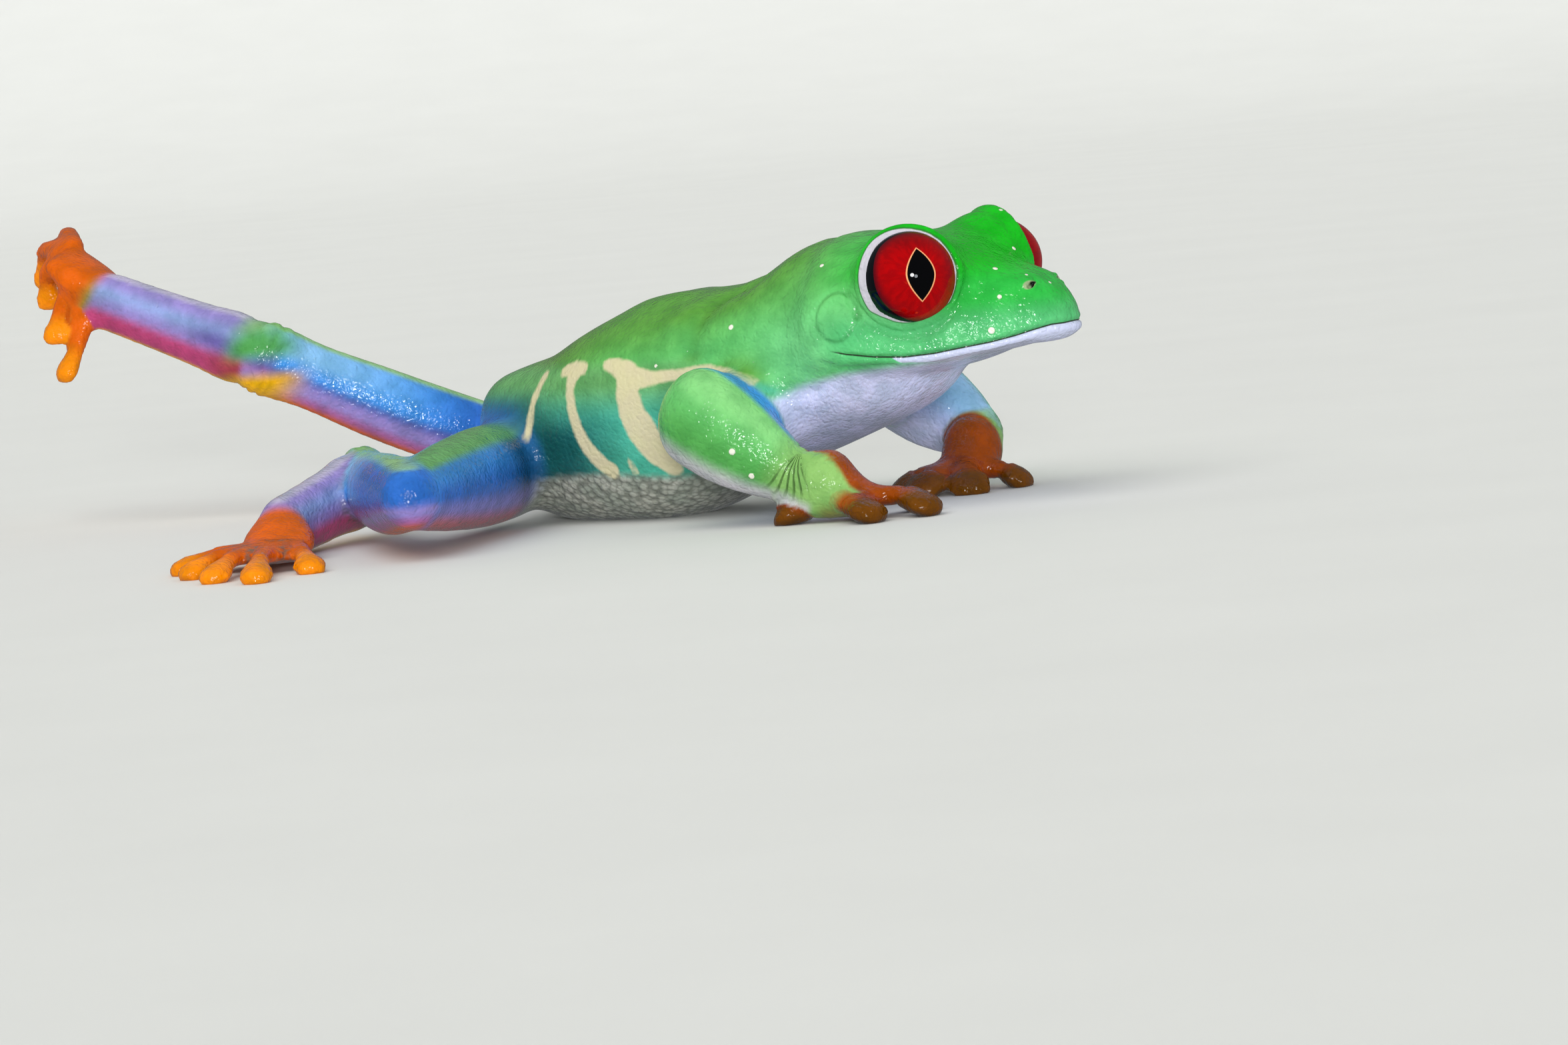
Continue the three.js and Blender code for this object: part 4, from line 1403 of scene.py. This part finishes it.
# %% [markdown]
# ## Skin material
# Frog skin is thin, wet and finely wrinkled. The grain is a node group, so any other wet skin can take
# it: a network of fine creases over a soft unevenness, both in millimetres. The clouds give the colour,
# the grain and a fine mottle vary it, and the crisp marks go on top.


# %% Grain group
def new_group(name, ins, outs):
    """A shader node group with its inputs and outputs, and the two nodes that stand for them."""
    group = bpy.data.node_groups.new(name, "ShaderNodeTree")
    for label, kind, default in ins:
        socket = group.interface.new_socket(label, in_out="INPUT", socket_type=f"NodeSocket{kind}")
        if default is not None:
            socket.default_value = default
    for label, kind in outs:
        group.interface.new_socket(label, in_out="OUTPUT", socket_type=f"NodeSocket{kind}")
    return group, group.nodes.new("NodeGroupInput"), group.nodes.new("NodeGroupOutput")


hide, given, result = new_group(
    "hide grain",
    [("Place", "Vector", None), ("Creases per mm", "Float", 3.4)],
    [("Height", "Float"), ("Mottle", "Float")],
)
place = given.outputs["Place"]
per_mm = given.outputs["Creases per mm"]
swing = vectors(hide, "SUBTRACT", noise(hide, place, 1.6, 2.0, "Color"), (0.5,) * 3)
bent = vectors(hide, "ADD", place, vectors(hide, "MULTIPLY", swing, (0.4,) * 3))
creases = smooth_step(hide, cells(hide, bent, per_mm, "DISTANCE_TO_EDGE"), 0.0, 0.3)
grit = cells(hide, bent, times(hide, per_mm, 1.05), "SMOOTH_F1")
grains = times(hide, maths(hide, "POWER", grit, 2.0), -3.0)
slow = noise(hide, place, times(hide, per_mm, 0.3), 3.0)
relief = maths(hide, "MULTIPLY_ADD", creases, 0.25, grains)
relief = maths(hide, "MULTIPLY_ADD", slow, 1.3, relief)
hide.links.new(relief, result.inputs["Height"])
hide.links.new(noise(hide, place, 0.55, 4.0), result.inputs["Mottle"])
print(hide.name, "has", len(hide.nodes), "nodes")

# %% Skin paint
skin_paint, tree, shader, scaled = new_material("painted wet skin", 0.3)


def mark(name):
    """The value of one of the skin's marks at a point."""
    return node(tree, "ShaderNodeAttribute", attribute_name=name).outputs["Fac"]


def crisp(value, soft, offset=0.0):
    """A mask with an edge of a given softness in millimetres where a value crosses the offset."""
    return smooth_step(tree, value, offset - soft, offset + soft)


grain = node(tree, "ShaderNodeGroup", node_tree=hide)
tree.links.new(scaled, grain.inputs["Place"])
cloud = node(tree, "ShaderNodeAttribute", attribute_name="airbrush").outputs["Color"]
light = blend(tree, 1.0, cloud, (1.14, 1.12, 1.08, 1), "MULTIPLY")
dark = blend(tree, 1.0, cloud, (0.80, 0.86, 0.80, 1), "MULTIPLY")
colour = blend(tree, crisp(grain.outputs["Mottle"], 0.2, 0.5), dark, light)
wander = maths(tree, "MULTIPLY_ADD", noise(tree, scaled, 1.1, 2.0), 0.36, -0.18)
print("skin paint starts with", len(tree.nodes), "nodes")

# %% [markdown]
# The marks are laid over the clouds in a painter's order: bars and lips, then veins, granules with
# painted shade between them, and warts, then painted shade in the hollows and folds, and last the thin
# lines: those of the lids, and painted shade in the grooves of the ear, wrist and mouth.


# %% Crisp marks in the material
def paint_over(mask, paint, strength=1.0):
    """Lays a paint over the colour so far, where a mask says."""
    global colour
    share = mask if strength == 1.0 else times(tree, mask, strength)
    colour = blend(tree, share, colour, paint)


cream_mask = crisp(maths(tree, "ADD", mark("cream"), wander), 0.16)
cream = blend(tree, crisp(noise(tree, scaled, 0.7, 3.0), 0.15, 0.5), pot("pale cream"), pot("cream"))
paint_over(cream_mask, cream, 0.94)
lip_mask = crisp(maths(tree, "MULTIPLY_ADD", wander, 0.3, mark("lip")), 0.08)
paint_over(times(tree, lip_mask, crisp(mark("mouth"), -0.03)), pot("lip"))
vein_edge = cells(tree, noise(tree, scaled, 0.5, 2.0, "Color"), 9.0, "DISTANCE_TO_EDGE")
vein_mask = crisp(minus(tree, 0.03, vein_edge), 0.03)
paint_over(times(tree, vein_mask, mark("veins")), pot("vein"), 0.2)
pebbles = cells(tree, scaled, 1.9, "F1")
# Painted shade: the gaps between the belly's granules are darkened.
paint_over(times(tree, crisp(pebbles, 0.2, 0.5), mark("pebble")), pot("belly gap shade"), 0.6)
paint_over(crisp(mark("wart"), 0.03), pot("wart"))
# Painted shade: the hollows of the form are darkened.
deep = blend(tree, 1.0, colour, (0.45, 0.52, 0.40, 1), "MULTIPLY")
paint_over(crisp(mark("hollow"), 14.0, 16.0), deep, 0.45)
paint_over(crisp(mark("lid_rim"), 0.035), pot("rim"))
from_rim = maths(tree, "ABSOLUTE", maths(tree, "ADD", mark("lid_rim"), 0.04))
paint_over(crisp(minus(tree, 0.05, from_rim), 0.04), pot("lid line"), 0.7)
# Painted shade: a thin darker ring in the groove round the ear disc.
paint_over(crisp(mark("ear"), 0.1), pot("ear groove shade"), 0.35)
# Painted shade: thin dark lines in the folds of the wrist.
folds = minus(tree, 0.13, maths(tree, "PINGPONG", mark("wrist_fan"), 0.5))
fold_mask = times(tree, crisp(folds, 0.09), mark("wrist_there"))
paint_over(fold_mask, pot("wrist fold shade"), 0.75)
# Painted shade: a dark line in the groove of the mouth.
slit = minus(tree, 0.055, maths(tree, "ABSOLUTE", mark("mouth")))
paint_over(times(tree, crisp(slit, 0.03), mark("mouth_there")), pot("mouth slit shade"))
print("with its marks it has", len(tree.nodes), "nodes")

# %% [markdown]
# The nostrils are small, so they are painted by their distance alone: a pale ring and, in it, an upright
# slit of painted shade where the nostril opens. The same place is folded over to the left, so one
# formula makes both.

# %% Nostrils in the material
parts = node(tree, "ShaderNodeSeparateXYZ", {0: scaled}).outputs
left = maths(tree, "ABSOLUTE", parts[1])
folded_place = node(tree, "ShaderNodeCombineXYZ", {0: parts[0], 1: left, 2: parts[2]}).outputs[0]
nose = vectors(tree, "SUBTRACT", folded_place, NOSTRIL_CENTRE)
nose = vectors(tree, "MULTIPLY", nose, (1, 0.35, 1))
nose_far = vectors(tree, "LENGTH", nose, output="Value")
paint_over(crisp(minus(tree, 0.31, nose_far), 0.06), pot("nostril rim"))
# Painted shade: the dark slit of the nostril's opening.
hole = vectors(tree, "SUBTRACT", nose, (0.09, 0, 0))
hole = vectors(tree, "MULTIPLY", hole, (1 / 0.15, 1 / 0.4, 1 / 0.25))
hole_far = vectors(tree, "LENGTH", hole, output="Value")
paint_over(crisp(minus(tree, 1.0, hole_far), 0.25), pot("nostril"))
tree.links.new(colour, shader.inputs["Base Color"])
print("with the nostrils it has", len(tree.nodes), "nodes")

# %% [markdown]
# The relief is a bump of a few hundredths of a millimetre, since real skin's grain is no deeper. Belly
# granules and warts stand up, the cream bars are smoother and the wrist's folds are cut in. The gloss
# varies with the mottle, as a wet film does, and a little light passes under the surface, as in live
# skin.

# %% Relief and gloss of the skin
BUMP_DEPTH = 0.037 * MM
GRANULE_RISE = 4.0
WART_RISE = 2.0
FOLD_CUT = -2.5

height = times(tree, grain.outputs["Height"], maths(tree, "MULTIPLY_ADD", cream_mask, -0.3, 1.0))
domes = minus(tree, 1.0, times(tree, pebbles, pebbles))
height = maths(tree, "MULTIPLY_ADD", times(tree, domes, mark("pebble")), GRANULE_RISE, height)
height = maths(tree, "MULTIPLY_ADD", crisp(mark("wart"), 0.1), WART_RISE, height)
height = maths(tree, "MULTIPLY_ADD", fold_mask, FOLD_CUT, height)
bump = node(tree, "ShaderNodeBump", {"Strength": 1.0, "Distance": BUMP_DEPTH, "Height": height})
tree.links.new(bump.outputs[0], shader.inputs["Normal"])
gloss = node(tree, "ShaderNodeMapRange", {0: grain.outputs["Mottle"], 1: 0.42, 2: 0.58, 3: 0.07, 4: 0.2})
tree.links.new(gloss.outputs[0], shader.inputs["Roughness"])
shader.inputs["IOR"].default_value = 1.45
shader.inputs["Specular IOR Level"].default_value = 0.45
shader.inputs["Subsurface Weight"].default_value = 0.1
shader.inputs["Subsurface Radius"].default_value = (1.0, 0.9, 0.5)
shader.inputs["Subsurface Scale"].default_value = 0.6 * MM
print("the finished skin paint has", len(tree.nodes), "nodes")

# %% [markdown]
# The skin is one piece. It stands for every solid of flesh, and only the eyeballs remain to be made.

# %% Skin piece
flesh = [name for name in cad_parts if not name.startswith("eye_")]
finish_piece("skin", clay.mesh, skin_paint, flesh)

# %% [markdown]
# ## Eyes
# The eyeball is one glossy ball with the low dome of its cornea. Its iris is painted in the eye's own
# coordinates: a deep red disc with fine fibres, a dark ring that is wider behind and below, and an
# upright pupil drawn as a spindle with a thin bright rim. Both eyes share this paint, and its input Front
# says which way the snout lies. A real cornea is clear and deep. A clear coat over the painted ball gives
# the same reflections, and it exports and renders reliably.

# %% Eye group
IRIS_EDGE = math.cos(math.radians(67.5))
PUPIL_HALF_WIDTH = 0.268
PUPIL_HALF_HEIGHT = 0.515
PUPIL_TAPER = 1.8
RING_WIDENING = 0.13
EYE_POTS = {
    "red": "#AE0004",
    "deep red": "#980004",
    "dull red": "#9A0006",
    "fleck": "#CC2A0C",
    "iris edge": "#5C0210",
    "front shade": "#5A0010",
    "top shade": "#4A0008",
    "pupil rim": "#F0A874",
    "pupil": "#010102",
    "ring": "#01060C",
    "hidden side": "#6A8AA8",
}
eye_paints = {name: shade(code) for name, code in EYE_POTS.items()}

eye, given, result = new_group(
    "painted eye",
    [("Place", "Vector", None), ("Front", "Float", 1.0)],
    [("Colour", "Color"), ("Height", "Float")],
)
axes = node(eye, "ShaderNodeSeparateXYZ", {0: vectors(eye, "NORMALIZE", given.outputs["Place"])}).outputs
wide = maths(eye, "ABSOLUTE", axes[0])
tall = maths(eye, "DIVIDE", maths(eye, "ABSOLUTE", axes[1]), PUPIL_HALF_HEIGHT)
taper = minus(eye, 1.0, maths(eye, "POWER", tall, PUPIL_TAPER))
in_pupil = minus(eye, times(eye, taper, PUPIL_HALF_WIDTH), wide)
front = times(eye, axes[0], given.outputs["Front"])
low_behind = maths(eye, "MULTIPLY_ADD", front, -0.9, times(eye, axes[1], -0.4))
cut = times(eye, smooth_step(eye, low_behind, 0.25, 0.85), RING_WIDENING)
depth = minus(eye, axes[2], cut)
print("the eye's measures take", len(eye.nodes), "nodes")

# %% Eye colours
turn_about = maths(eye, "ARCTAN2", axes[1], axes[0])
outwards = times(eye, axes[2], 0.8)
stretched = node(eye, "ShaderNodeCombineXYZ", {0: turn_about, 1: outwards}).outputs[0]
fibres = noise(eye, stretched, 7.0, 4.0)
flecks = noise(eye, given.outputs["Place"], 1.6, 5.0)
red = blend(eye, smooth_step(eye, fibres, 0.35, 0.65), eye_paints["deep red"], eye_paints["red"])
red = blend(eye, smooth_step(eye, flecks, 0.45, 0.7), red, eye_paints["dull red"])
red = blend(eye, smooth_step(eye, flecks, 0.66, 0.8), red, eye_paints["fleck"])
red = blend(eye, smooth_step(eye, depth, IRIS_EDGE, IRIS_EDGE + 0.22), eye_paints["iris edge"], red)
# Painted shade: the iris darkens towards the snout, and at its top under the upper lid.
ahead_shade = times(eye, smooth_step(eye, front, 0.35, 0.8), 0.5)
red = blend(eye, ahead_shade, red, eye_paints["front shade"])
top_shade = times(eye, smooth_step(eye, axes[1], 0.3, 0.95), 0.6)
red = blend(eye, top_shade, red, eye_paints["top shade"])
iris = blend(eye, smooth_step(eye, in_pupil, -0.034, -0.02), red, eye_paints["pupil rim"])
iris = blend(eye, smooth_step(eye, in_pupil, -0.006, 0.006), iris, eye_paints["pupil"])
outer = blend(eye, smooth_step(eye, axes[2], 0.0, 0.22), eye_paints["hidden side"], eye_paints["ring"])
iris_mask = smooth_step(eye, depth, IRIS_EDGE - 0.01, IRIS_EDGE + 0.01)
eye.links.new(blend(eye, iris_mask, outer, iris), result.inputs["Colour"])
eye.links.new(fibres, result.inputs["Height"])
print(eye.name, "has", len(eye.nodes), "nodes")


# %% [markdown]
# Each eyeball is a fine ball whose pole lies on the eye's axis, so its faces run in rings like the iris.
# The two share one painted eye and differ only in place, turn and the side on which the snout lies.


# %% Eyeballs
def eye_frame(side):
    """The eye's own axes as a matrix: across, up and ahead, with its centre, in millimetres."""
    ahead = eye_axis(side)
    above = (Vector((0, 0, 1)) - ahead * ahead.z).normalized()
    turned = Matrix((above.cross(ahead), above, ahead)).transposed().to_4x4()
    return Matrix.Translation(on_side(EYE_CENTRE, side)) @ turned


def eyeball_mesh(name, side):
    """A fine ball with its pole on the eye's axis and the dome of the cornea in front."""
    work = bmesh.new()
    bmesh.ops.create_uvsphere(work, u_segments=96, v_segments=64, radius=EYE_RADIUS)
    for vert in work.verts:
        polar = vert.co.angle(Vector((0, 0, 1)))
        vert.co *= 1 + CORNEA_BULGE / EYE_RADIUS * math.exp(-((polar / CORNEA_SPREAD) ** 2))
    work.transform(eye_frame(side))
    bmesh.ops.recalc_face_normals(work, faces=work.faces)
    mesh = bpy.data.meshes.new(name)
    work.to_mesh(mesh)
    work.free()
    return mesh


for letter, side in SIDES.items():
    eye_paint, tree, shader, scaled = new_material(f"red eye {letter}", 0.4, coat=0.8, coat_roughness=0.02)
    shader.inputs["Specular IOR Level"].default_value = 0.0
    shader.inputs["Coat IOR"].default_value = 1.34
    turned = eye_frame(side)
    inward = {"Vector": scaled, "Location": turned.translation, "Rotation": turned.to_euler()}
    local = node(tree, "ShaderNodeMapping", inward, vector_type="TEXTURE")
    painted = node(tree, "ShaderNodeGroup", node_tree=eye)
    painted.inputs["Front"].default_value = -side
    tree.links.new(local.outputs[0], painted.inputs["Place"])
    tree.links.new(painted.outputs["Colour"], shader.inputs["Base Color"])
    wires = {"Strength": 0.3, "Distance": 0.02 * MM, "Height": painted.outputs["Height"]}
    tree.links.new(node(tree, "ShaderNodeBump", wires).outputs[0], shader.inputs["Normal"])
    name = f"eyeball_{letter}"
    finish_piece(name, eyeball_mesh(name, side), eye_paint, [f"eye_{letter}"])
